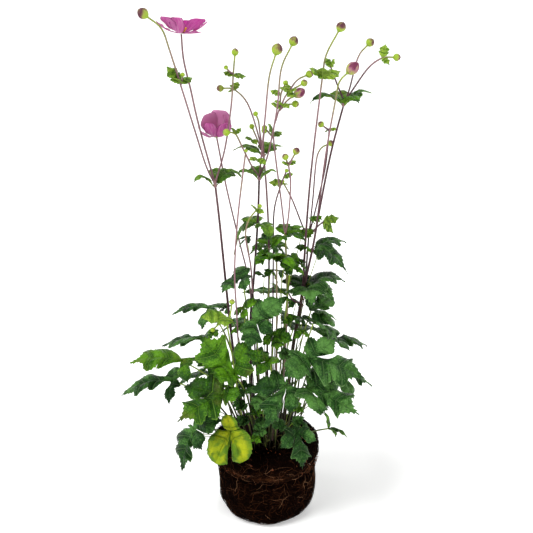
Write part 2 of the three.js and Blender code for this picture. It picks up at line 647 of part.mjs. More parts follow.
// Leaflets that spread from one node, fused at their feet into one sheet. Each keeps to its own
// sector, so that none crosses its neighbour.
function spread(leaflets, face, width) {
  const ordered = inOrder(leaflets, face);
  const spots = [{ point: ordered[0].midrib.v0.clone(), up: face.clone() }];
  const add = (spot) => spots.push(spot) - 1;
  const sides = ordered.map(({ midrib, shape, gap }, k) => {
    const spot = lie(midrib, face);
    const before = ordered[(k + ordered.length - 1) % ordered.length].gap;
    const edge = (hand, room) => shape.map(([, a, w, lift]) => {
      const widest = a * Math.tan(Math.min(room * SECTOR, WIDEST_TURN));
      return add(spot(a, hand * Math.min(w * width, widest), lift));
    });
    const tip = add(spot(1, 0, 0));
    const middle = [0, ...shape.map(([u]) => add(spot(u, 0, 0))), tip];
    return { middle, right: [0, ...edge(1, before), tip], left: [0, ...edge(-1, gap), tip] };
  });
  for (let k = 0; k + 1 < ordered.length; k += 1) {
    const [leaflet, next] = [ordered[k], ordered[k + 1]];
    const lengths = [leaflet, next].map(({ midrib }) => midrib.getLength());
    const reach = FUSED * Math.min(...lengths);
    const [cos, sin] = [Math.cos(leaflet.gap / 2), Math.sin(leaflet.gap / 2)];
    const ends = [leaflet, next].map(({ midrib }, j) => {
      const share = reach / lengths[j];
      return lie(midrib, face)(share * cos, (j ? 1 : -1) * share * sin, 0);
    });
    const notch = add({
      point: ends[0].point.lerp(ends[1].point, 0.5), up: ends[0].up.add(ends[1].up).normalize(),
    });
    sides[k].left[0] = notch;
    sides[k + 1].right[0] = notch;
  }
  const faces = sides.flatMap(({ middle, right, left }) => [
    ...strip(middle, right, 1), ...strip(middle, left, -1),
  ]);
  const rim = sides.flatMap(({ right, left }) => [...right, ...left.slice(1, -1).reverse()]);
  return sheet(spots, faces, rim);
}

// A midrib from one point to another, bowed towards `face`, most at the share `peak` of its way.
function arch(from, to, face, bow, peak = 0.5) {
  const rise = face.clone().normalize().multiplyScalar(bow * from.distanceTo(to));
  const top = from.clone().lerp(to, peak).add(rise);
  return new THREE.QuadraticBezierCurve3(from, top, to);
}

// From the hole in the soil straight up, then bending out to the leaf.
function petiolePoints([x, y], node) {
  const bend = [
    THREE.MathUtils.lerp(x, node[0], PETIOLE_BEND.out),
    THREE.MathUtils.lerp(y, node[1], PETIOLE_BEND.out),
    THREE.MathUtils.lerp(SOIL_Z, node[2], PETIOLE_BEND.up),
  ];
  return [[x, y, SOIL_Z - ROOTED_DEPTH], [x, y, SOIL_Z + ABOVE_SOIL], bend, node];
}

// A ternate leaf: a stalk from the crown to the leaf's node, and a leaflet to each tip.
function leafBody({ root, node, tips, outline, face, width = 1, bow = 0.16 }) {
  const points = petiolePoints(root, node);
  const foot = vector(node).lerp(vector(points[2]), SUNK / vector(node).distanceTo(vector(points[2])));
  const leaflets = tips.map((tip, i) => ({
    midrib: arch(foot, vector(tip), face, bow),
    shape: outline || (i === 0 ? CUT_LEAFLET : SIDE_LEAFLET),
  }));
  return join([stalk(points, PETIOLE), spread(leaflets, face, width)]);
}

// The way a leaf faces: up, and out from the middle of the plant.
function leafFace([x, y], lean) {
  const out = new THREE.Vector3(x, y, 0).normalize();
  return UP.clone().addScaledVector(out, lean).normalize();
}

function addLeaf(name, leaf) {
  const { root, node, lean = 0.5, colour = 'deep' } = leaf;
  roots.push([...root, PETIOLE[0]]);
  addNode(name, leafBody({ ...leaf, face: leafFace(node, lean) }), colour);
}

// A bud or dried head: a small round body on the end of its stalk.
function budBody(points, [width, length]) {
  const profile = BUD_PROFILE.map(([r, z]) => new THREE.Vector2(r * width, z * length));
  const geometry = new THREE.LatheGeometry(profile, BUD_SIDES);
  const along = new StalkPath(points).getTangent(1);
  geometry.applyQuaternion(new THREE.Quaternion().setFromUnitVectors(new THREE.Vector3(0, 1, 0), along));
  const base = vector(points[points.length - 1]).addScaledVector(along, -BUD_SEAT);
  geometry.translate(base.x, base.y, base.z);
  return solid(geometry);
}

function shootPoints(stem, i) {
  const { path } = stem.shoots[i];
  const [x, y] = stem.root;
  return i === 0 ? [[x, y, SOIL_Z - ROOTED_DEPTH], [x, y, SOIL_Z + ABOVE_SOIL], ...path] : path;
}

function stemBody(stem) {
  const stalks = stem.shoots.map(({ radii }, i) => stalk(shootPoints(stem, i), radii));
  const buds = stem.shoots.flatMap(({ bud }, i) => (bud ? [budBody(shootPoints(stem, i), bud)] : []));
  const tufts = (stem.tufts || []).flatMap(({ at, tips }) => tips.map((tip) => {
    const from = vector(at);
    const face = vector(TUFT.facing);
    return blade(arch(from, vector(tip), face, TUFT.bow), TUFT_LEAF, face, { width: TUFT.width });
  }));
  return join([...stalks, ...buds, ...tufts]);
}

// Leaves round a joint, held together by a collar, clear of the stem that passes through.
function whorlBody({ stem, at, along, radius, tips, bow, outline = BRACT }) {
  const joint = vector(at);
  const axis = vector(along).normalize();
  const inner = (radius + CLEARANCE) / Math.cos(Math.PI / COLLAR.sides);
  const outer = inner + COLLAR.wall;
  const half = COLLAR.height / 2;
  const middle = joint.clone().addScaledVector(axis, -half - CLEARANCE);
  const wall = [[inner, -half], [outer, -half], [outer, half], [inner, half], [inner, -half]];
  const collar = placed(ringOf(wall, COLLAR.sides), middle, axis);
  const leaves = tips.map((tip) => {
    const out = vector(tip).sub(middle);
    out.addScaledVector(axis, -out.dot(axis)).normalize();
    const start = middle.clone().addScaledVector(out, inner + COLLAR.wall / 3);
    const face = UP.clone().addScaledVector(out, 0.3).normalize();
    const midrib = arch(start, vector(tip), face, bow, WHORL_PEAK);
    return blade(midrib, outline, face, { bare: WHORL_BARE / midrib.getLength(), width: 1.1 });
  });
  return join([collar, ...leaves]);
}

// Stands a solid at a point, with its +Z turned to the way it faces.
function placed(whole, at, facing) {
  const turn = new THREE.Quaternion().setFromUnitVectors(UP, facing);
  const matrix = new THREE.Matrix4().compose(at, turn, new THREE.Vector3(1, 1, 1));
  return whole.transform(matrix.toArray());
}

// A turned solid about +Z; `height` may change a point's z by its turn.
function ringOf(profile, sides, height = (turn, z) => z) {
  const geometry = new THREE.LatheGeometry(profile.map(([r, z]) => new THREE.Vector2(r, z)), sides);
  geometry.rotateX(Math.PI / 2);
  const place = geometry.getAttribute('position');
  for (let i = 0; i < place.count; i += 1) {
    place.setZ(i, height(Math.atan2(place.getY(i), place.getX(i)), place.getZ(i)));
  }
  return solid(geometry);
}

function petalBody({ turn, reach, rise, belly, dip }) {
  const angle = THREE.MathUtils.degToRad(turn);
  const spot = (r, z) => new THREE.Vector3(r * Math.cos(angle), r * Math.sin(angle), z);
  const start = spot(FLOWER.disc.radius / 3, FLOWER.disc.height / 2);
  const midrib = new THREE.QuadraticBezierCurve3(start, spot(belly, dip), spot(reach, rise));
  const inward = spot(-0.7, 1);
  return blade(midrib, PETAL, inward, { width: FLOWER.petalWidth });
}

// Petals on a small plate, then the crown of stamens cut in points, then the dome of carpels.
function addBloom(name, { at, facing, petals }) {
  const { disc, crown, dome } = FLOWER;
  const stand = (whole) => placed(whole, vector(at), vector(facing).normalize());
  const plate = ringOf(
    [[0, CLEARANCE], [disc.radius, CLEARANCE], [disc.radius, disc.height], [0, disc.height]],
    disc.sides,
  );
  addNode(`petals_${name}`, stand(join([plate, ...petals.map(petalBody)])), 'petal');
  const cup = [
    [crown.foot[0], crown.z], [crown.foot[1], crown.z],
    [crown.flare[1], crown.rise], [crown.flare[0], crown.rise], [crown.foot[0], crown.z],
  ];
  const points = (turn, z) => (z > crown.z ? z - crown.cut * (1 - Math.cos(crown.points * turn)) : z);
  addNode(`stamens_${name}`, stand(ringOf(cup, 2 * crown.points, points)), 'stamen');
  const { radius } = dome;
  const head = [[0, 0], [radius, 0], [0.85 * radius, radius], [0, 1.4 * radius]];
  const raised = head.map(([r, z]) => [r, z + crown.z]);
  addNode(`carpels_${name}`, stand(ringOf(raised, dome.sides)), 'carpel');
}

// The root ball: a turned shape with low lumps, and a hole for every stalk.
function rootBall() {
  const geometry = new THREE.LatheGeometry(BALL_PROFILE.map(([r, z]) => new THREE.Vector2(r, z)), BALL_SIDES);
  geometry.rotateX(Math.PI / 2);
  const place = geometry.getAttribute('position');
  for (let i = 0; i < place.count; i += 1) {
    const [x, y, z] = [place.getX(i), place.getY(i), place.getZ(i)];
    const radius = Math.hypot(x, y);
    if (radius > LUMP_FROM_RADIUS) {
      const turn = Math.atan2(y, x);
      const lump = LUMP * (Math.sin(3 * turn + z / 20) + 0.6 * Math.sin(7 * turn - z / 9));
      place.setXY(i, x * (1 + lump / radius), y * (1 + lump / radius));
    }
  }
  const holes = roots.map(([x, y, radius]) => {
    const wide = (radius + HOLE_CLEARANCE) / Math.cos(Math.PI / HOLE_SIDES);
    const hole = new THREE.CylinderGeometry(wide, wide, 2 * HOLE_DEPTH, HOLE_SIDES);
    hole.rotateX(Math.PI / 2);
    hole.translate(x, y, SOIL_Z);
    return solid(hole);
  });
  return solid(geometry).subtract(join(holes));
}

for (const [name, leaf] of Object.entries(LEAVES)) addLeaf(name, leaf);
for (const [name, stem] of Object.entries(STEMS)) {
  roots.push([...stem.root, stem.shoots[0].radii[0]]);
  addNode(name, stemBody(stem), STEM_COLOURS[name] || 'purple');
}
for (const [name, whorl] of Object.entries(WHORLS)) addNode(name, whorlBody(whorl), whorl.colour || 'deep');
for (const [name, bloom] of Object.entries(BLOOMS)) addBloom(name, bloom);
addNode('root_ball', rootBall(), 'soil');

export default group;
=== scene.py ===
"""A Japanese anemone lifted out of its pot: fine leaves, stems, buds, blooms and a matted root ball
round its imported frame. Metres, +Z up, with the side that the photograph shows towards -Y."""

import math
import random

import bmesh
import bpy
import numpy as np
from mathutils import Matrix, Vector, noise


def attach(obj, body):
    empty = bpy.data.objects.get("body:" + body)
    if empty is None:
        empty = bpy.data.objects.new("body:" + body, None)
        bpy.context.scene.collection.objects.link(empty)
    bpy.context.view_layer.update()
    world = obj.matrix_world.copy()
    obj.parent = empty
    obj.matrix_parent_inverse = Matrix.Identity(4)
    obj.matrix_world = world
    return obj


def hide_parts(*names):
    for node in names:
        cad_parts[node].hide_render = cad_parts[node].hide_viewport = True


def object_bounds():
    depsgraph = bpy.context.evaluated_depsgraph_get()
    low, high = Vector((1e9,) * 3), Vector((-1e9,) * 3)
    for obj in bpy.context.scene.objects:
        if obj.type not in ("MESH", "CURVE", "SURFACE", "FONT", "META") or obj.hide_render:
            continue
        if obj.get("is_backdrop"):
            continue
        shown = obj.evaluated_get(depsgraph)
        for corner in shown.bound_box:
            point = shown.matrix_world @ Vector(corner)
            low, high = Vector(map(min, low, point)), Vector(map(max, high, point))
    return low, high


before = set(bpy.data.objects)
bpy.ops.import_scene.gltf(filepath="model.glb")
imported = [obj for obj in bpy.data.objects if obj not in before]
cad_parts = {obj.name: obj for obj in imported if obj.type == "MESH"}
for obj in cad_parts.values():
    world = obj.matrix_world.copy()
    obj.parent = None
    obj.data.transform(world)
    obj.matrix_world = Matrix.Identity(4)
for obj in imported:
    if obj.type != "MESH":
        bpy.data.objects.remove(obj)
cad_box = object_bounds()

MM = 0.001
UP = np.array((0.0, 0.0, 1.0))
WELD_DISTANCE = 2e-6

# Turn from one grain of a spiral to the next, in radians.
GOLDEN_TURN = 2.39996

# Camera of the photograph.
CAMERA_PLACE = (0.0, -1.178, 0.741)
CAMERA_TILT_DEG = 71.8
CAMERA_LENS, CAMERA_SENSOR = 64.2, 36

# The pale room round the plant: its size, the flat sides of its wall, how bright it is by itself,
# and the place that its lamps shine at.
STUDIO_RADIUS, STUDIO_HEIGHT, STUDIO_SIDES = 20.0, 7.0, 64
FLOOR_GLOW, BACKDROP_GLOW, WORLD_GLOW = 0.36, 0.75, 0.16
LIGHT_AIM = (0.0, 0.0, 0.35)

# Root ball: outline of its side from the middle of its underside to the middle of the soil, how
# fine its grid is, its lumps and the radius from which it has them, and the fold under its collar.
SOIL_Z = 0.110
BALL_PROFILE = [
    (0.0, 0.0), (0.042, 0.0), (0.056, 0.004), (0.064, 0.017), (0.066, 0.042), (0.067, 0.068),
    (0.07, 0.079), (0.0725, 0.092), (0.071, 0.105), (0.065, 0.111), (0.054, SOIL_Z), (0.0, SOIL_Z),
]
BALL_ROWS, BALL_COLUMNS = 120, 200
LUMP, LUMPY_FROM = 0.0013, 0.05
FOLD_Z, FOLD_HEIGHT, FOLD_DEPTH = 0.069, 0.0032, 0.0036

# The compost's surface: scale and height of its clods and of the strands on them, how much
# further the strands are drawn out level, and how far the whole is sunk to stay in place.
CLOD_SCALE, CLOD_HEIGHT = 45, 0.0009
STRAND_SCALE, STRAND_HEIGHT, STRAND_DRAWN = 190, 0.0011, 130
MAT_SUNK = 0.0008

# What the ball holds: fine roots, which start in two bands of its side, crumbs and stubs of old
# stalks. Bands and reach are shares of the outline above.
FIBRE_BANDS = {"low": (0.2, 0.46), "high": (0.4, 0.84)}
FIBRES, FIBRE_STEP = 1600, 0.0028
FIBRE_RADII = (0.11 * MM, 0.14 * MM, 0.18 * MM, 0.24 * MM)
FIBRE_REACH = (0.19, 0.985)
CRUMBS, STUBS = 620, 60
CRUMB_RINGS = np.array((-1.0, -0.6, 0.1, 0.7, 1.0))

# Stalks: how deep they are rooted, where they leave the soil, the radii of a leaf stalk, where it
# bends, and how far its end is sunk into the leaflets. A flower stalk's radius is FINEST_STALK at
# least, and past STOUT_STALK it has more sides. Then the knots of the woody stem's old joint, and
# the foot and the lean of the stretch of stem that they sit on.
ROOTED_DEPTH = 0.009
ABOVE_SOIL = 0.003
PETIOLE = (0.0014, 0.0009)
PETIOLE_BEND_OUT, PETIOLE_BEND_UP = 0.42, 0.66
SUNK = 0.0015
FINEST_STALK, STOUT_STALK = 0.00105, 0.0012
KNOTS, KNOTS_Z = 16, (0.286, 0.31)
KNOTTY_FOOT, KNOTTY_LEAN = (0.0435, 0.004, 0.284), 0.136

# Blades: thickness, half width of a bare foot as a share of the length, columns of faces from the
# midrib to an edge, the places at which a midrib's length is measured, and the rows over which an
# end thins out. Leaflets are fused from their node out to the share FUSED of the shorter one, and
# the seam fades within SEAM_ROWS. Each leaflet keeps within the share SECTOR of the angle to its
# neighbour, and within WIDEST_TURN.
BLADE_THICKNESS = 0.0005
FOOT = 0.02
ACROSS, ACROSS_PETAL, ACROSS_TUFT, ACROSS_SMALL = 6, 9, 4, 3
MIDRIB_PLACES = 25
THIN_ROWS, SEAM_ROWS = 2, 4.0
FUSED = 0.14
SECTOR = 0.46
WIDEST_TURN = 1.4

# A leaflet's second corner: on a free side where it is, as in OUTLINES, and on a fused one the
# share of the way from the seam's end to the outline's first corner. The corners beyond it lie at
# least CORNERS_APART, twice that and so on further along.
FREE_FOOT = (0.03, -0.04, 0.16, -0.01)
FUSED_FOOT = 0.35
CORNERS_APART = 0.03

# The rib under a blade: its rings, the share of the midrib that it runs along, its end's radius,
# how far it is set down, and its radius at the foot.
RIB_RINGS, RIB_REACH, RIB_END, RIB_DOWN = 14, 0.92, 0.0002, 0.0002
LEAF_RIB, SMALL_RIB, TUFT_RIB, WHORL_RIB = 0.0009, 0.0005, 0.0004, 0.0007

# Blades of a tuft: the way they face, their arch and their width against the outline's.
TUFT_FACE, TUFT_BOW, TUFT_WIDTH = (0, -0.5, 0.87), 0.2, 1.5

# Whorls: the bare foot of a leaf, the share of its way where it turns over, its width against the
# outline's, and the collar with its room, its wall and how far it swells.
WHORL_BARE = 0.0015
WHORL_PEAK, WHORL_WIDTH = 0.36, 1.1
COLLAR_HEIGHT = 0.0034
COLLAR_CLEARANCE, COLLAR_WALL, COLLAR_SWELL = 0.00035, 0.0002, 0.0011

# Buds: how far one sits over its stalk's end, its rings and its core's sides, its sepals, half the
# span of each as a share of its part of the turn, the length from which a bud has a ripe one's
# look, the width at which it starts to darken, and how much wider it is when it is dark.
BUD_SEAT = 0.0008
BUD_RINGS, CORE_SIDES, SEPAL_COLUMNS = 11, 12, 9
SEPALS, SEPAL_SPAN, SEPAL_THICKNESS = 5, 0.68, 0.0002
RIPE_LENGTH = 0.015
DARK_FROM, DARK_WITHIN = 0.0058, 0.005

# Blooms: where the seat under the petals starts, how high and wide it is, and how far out and up
# a petal starts. Stamens, how far out and up their feet stand, how high they rise and how far they
# spread. Carpels round a dome. A grain is half its length and its radius.
SEAT_Z, SEAT_HEIGHT, SEAT_RADIUS = 0.0006, 0.0014, 0.0038
PETAL_FOOT = (0.0015, 0.0009)
STAMENS, CARPELS = 96, 110
STAMEN_Z, STAMEN_LEAN = 0.0026, 0.0002
STAMEN_FOOT, STAMEN_HEIGHT, STAMEN_SPREAD = (0.0026, 0.0040), (0.0052, 0.0078), (0.0004, 0.0022)
FILAMENT_RADIUS = 0.00018
ANTHER, DOME, CARPEL = (0.0007, 0.00055), (0.0023, 0.0021), (0.00035, 0.00028)
DOME_MIDDLE = 0.0032

# Half outlines of a blade from base to tip, as shares of its length: where a row meets the midrib,
# how far along its edge point lies, the half width, and the lift of the edge.
OUTLINES = {
    "cut": [
        (0.22, 0.36, 0.45, -0.07), (0.34, 0.42, 0.24, 0.02), (0.5, 0.65, 0.34, -0.06),
        (0.66, 0.7, 0.18, 0.0),
    ],
    "side": [(0.24, 0.33, 0.46, -0.06), (0.4, 0.46, 0.25, 0.01), (0.62, 0.74, 0.25, -0.04)],
    "round": [(0.24, 0.3, 0.44, -0.03), (0.56, 0.7, 0.4, -0.01), (0.82, 0.95, 0.2, -0.02)],
    "narrow": [(0.28, 0.32, 0.24, -0.04), (0.44, 0.46, 0.15, 0.01), (0.68, 0.72, 0.14, 0.0)],
    "bract": [(0.3, 0.42, 0.34, -0.05), (0.46, 0.48, 0.19, 0.02), (0.7, 0.76, 0.15, 0.0)],
    "tuft": [(0.26, 0.36, 0.25, -0.03), (0.36, 0.38, 0.15, 0.0), (0.5, 0.62, 0.24, -0.04)],
    "petal": [
        (0.2, 0.18, 0.12, 0.01), (0.46, 0.44, 0.33, 0.04), (0.7, 0.74, 0.44, 0.05),
        (0.9, 0.97, 0.3, 0.02),
    ],
}

# How finely a blade's edge is toothed: pitch and depth of the teeth as shares of its length. A
# petal's edge is smooth, with points SMOOTH_PITCH apart.
TEETH = {
    "cut": (0.085, 0.042), "side": (0.1, 0.042), "round": (0.13, 0.03), "narrow": (0.11, 0.026),
    "bract": (0.12, 0.034), "tuft": (0.16, 0.034),
}
SMOOTH_PITCH = 0.09

# One tooth: how far along it and how far out its points lie. Then how far an edge bulges where it
# widens, where it narrows and, below nothing, where it runs in to a pointed tip.
TOOTH = ((0.0, 0.0), (0.42, 0.34), (0.86, 1.0))
BULGES = (0.06, 0.08, -0.1)

# Basal leaves: the foot of the stalk, the node where the leaflets meet, the tips of the middle and
# the two side leaflets, and by name what is unusual about the leaf. This table and the ones after
# it, down to the little leaves, are in millimetres.
LEAVES = {
    "leaf_left_high": ((-32, -14), (-110, -38, 238), [(-177, -46, 237), (-101, -62, 216), (-82, -14, 224)],
        dict(look="fresh", lean=0.7, bow=0.22)),
    "leaf_left_low": ((-37, -3), (-127, -6, 194), [(-196, -12, 173), (-130, -32, 170), (-126, 24, 200)],
        dict(bow=0.24)),
    "leaf_left_top": ((-27, 4), (-75, 0, 297), [(-124, -10, 290), (-84, -30, 277), (-46, 20, 290)],
        dict(bow=0.24)),
    "leaf_front_fresh": ((-14, -34), (-41, -62, 229), [(-84, -60, 282), (-22, -54, 274), (-67, -84, 236)],
        dict(look="fresh", lean=1.6, width=1.1)),
    "leaf_front_left": ((-25, -33), (-56, -72, 205), [(-113, -98, 179), (-32, -94, 215), (-108, -52, 206)],
        dict(look="fresh", lean=1)),
    "leaf_left_hang": ((-40, -22), (-97, -50, 145), [(-111, -72, 93), (-84, -78, 128), (-58, -64, 164)],
        dict(lean=1.2, width=1.3)),
    "leaf_front_aged": ((-22, -44), (-47, -78, 156), [(-66, -96, 119), (-29, -97, 122), (-50, -76, 178)],
        dict(look="aged", outline="round", lean=1.4, width=1.1, fused=0.6, bow=0.1)),
    "leaf_centre_big": ((4, -41), (26, -66, 216), [(-3, -108, 175), (-20, -68, 210), (30, -104, 194)],
        dict(lean=1.2)),
    "leaf_right_big": ((22, -37), (54, -62, 208), [(117, -97, 188), (68, -110, 194), (98, -44, 216)],
        dict(lean=1, width=1.1)),
    "leaf_right_mid": ((27, -24), (54, -46, 244), [(127, -58, 221), (22, -82, 234), (90, -34, 264)],
        dict(lean=0.9, width=1.1)),
    "leaf_right_back": ((39, -4), (92, 6, 205), [(144, 4, 180), (116, -34, 178), (120, 44, 192)], {}),
    "leaf_centre_high": ((-8, -28), (-14, -46, 298), [(-22, -72, 264), (23, -42, 325), (8, -68, 288)],
        dict(lean=1.4)),
    "leaf_centre_mid": ((4, -29), (10, -34, 276), [(14, -58, 258), (-5, -42, 260), (34, -42, 266)],
        dict(look="fresh", lean=1.3)),
    "leaf_right_high": ((33, 8), (60, 10, 291), [(94, -6, 280), (92, 36, 298), (58, 36, 312)],
        dict(lean=0.9)),
    "leaf_right_narrow": ((36, -14), (62, -14, 282), [(95, -22, 255), (72, -42, 282), (92, 10, 272)],
        dict(lean=0.9, bow=0.26)),
    "leaf_centre_dark": ((-18, -1), (-31, -18, 346), [(-57, -50, 333), (-38, 10, 350), (-26, -48, 338)],
        dict(bow=0.2)),
    "leaf_low_right": ((16, -45), (40, -80, 156), [(46, -104, 115), (18, -98, 142), (64, -90, 148)],
        dict(lean=1.4)),
    "leaf_twisted": ((50, -14), (86, -22, 130), [(109, -30, 120), (76, -14, 152), (92, -44, 128)],
        dict(look="fresh", outline="narrow", lean=0.9, bow=0.3)),
    "leaf_curled": ((11, -33), (4, -60, 248), [(-28, -82, 266), (16, -88, 256), (-14, -92, 240)],
        dict(look="fresh", outline="narrow", lean=1.2)),
    "leaf_mid_left": ((-20, -16), (-30, -28, 308), [(-43, -32, 297), (-11, -36, 321), (-27, -46, 298)],
        dict(look="fresh", lean=1)),
    "leaf_mid_right": ((19, -18), (31, -14, 362), [(48, -30, 351), (25, -38, 355), (40, 6, 370)],
        dict(look="fresh", lean=1)),
    "leaf_left_inner": ((-41, -10), (-80, 0, 212), [(-94, -10, 198), (-68, -18, 196), (-96, 14, 222)],
        dict(look="fresh", lean=0.9)),
    "leaf_centre_low": ((-3, -36), (-8, -52, 200), [(-14, -66, 176), (6, -60, 194), (-22, -58, 208)],
        dict(lean=1.4)),
    "leaf_right_inner": ((41, -20), (66, -18, 200), [(84, -26, 206), (60, -14, 218), (72, -40, 190)],
        dict(lean=1)),
    "leaf_back_left_low": ((-36, 18), (-84, 62, 176), [(-122, 104, 138), (-56, 96, 150), (-126, 52, 160)],
        {}),
    "leaf_back_low": ((-10, 40), (-14, 96, 182), [(-20, 150, 146), (24, 112, 166), (-60, 112, 160)], {}),
    "leaf_back_right_low": ((32, 24), (76, 70, 172), [(110, 112, 134), (112, 54, 150), (52, 104, 150)], {}),
    "leaf_back_left_mid": ((-30, 12), (-86, 30, 240), [(-146, 48, 220), (-84, 74, 226), (-116, -2, 246)],
        {}),
    "leaf_back_mid": ((-20, 28), (-34, 70, 246), [(-60, 122, 226), (8, 92, 240), (-66, 60, 236)], {}),
    "leaf_back_right_mid": ((14, 34), (38, 68, 240), [(56, 122, 218), (88, 68, 230), (14, 96, 262)], {}),
    "leaf_right_behind": ((36, 14), (88, 36, 238), [(142, 58, 216), (112, 4, 232), (92, 82, 236)], {}),
    "leaf_back_high": ((0, 32), (2, 52, 300), [(4, 104, 282), (44, 46, 300), (-36, 62, 294)], {}),
}

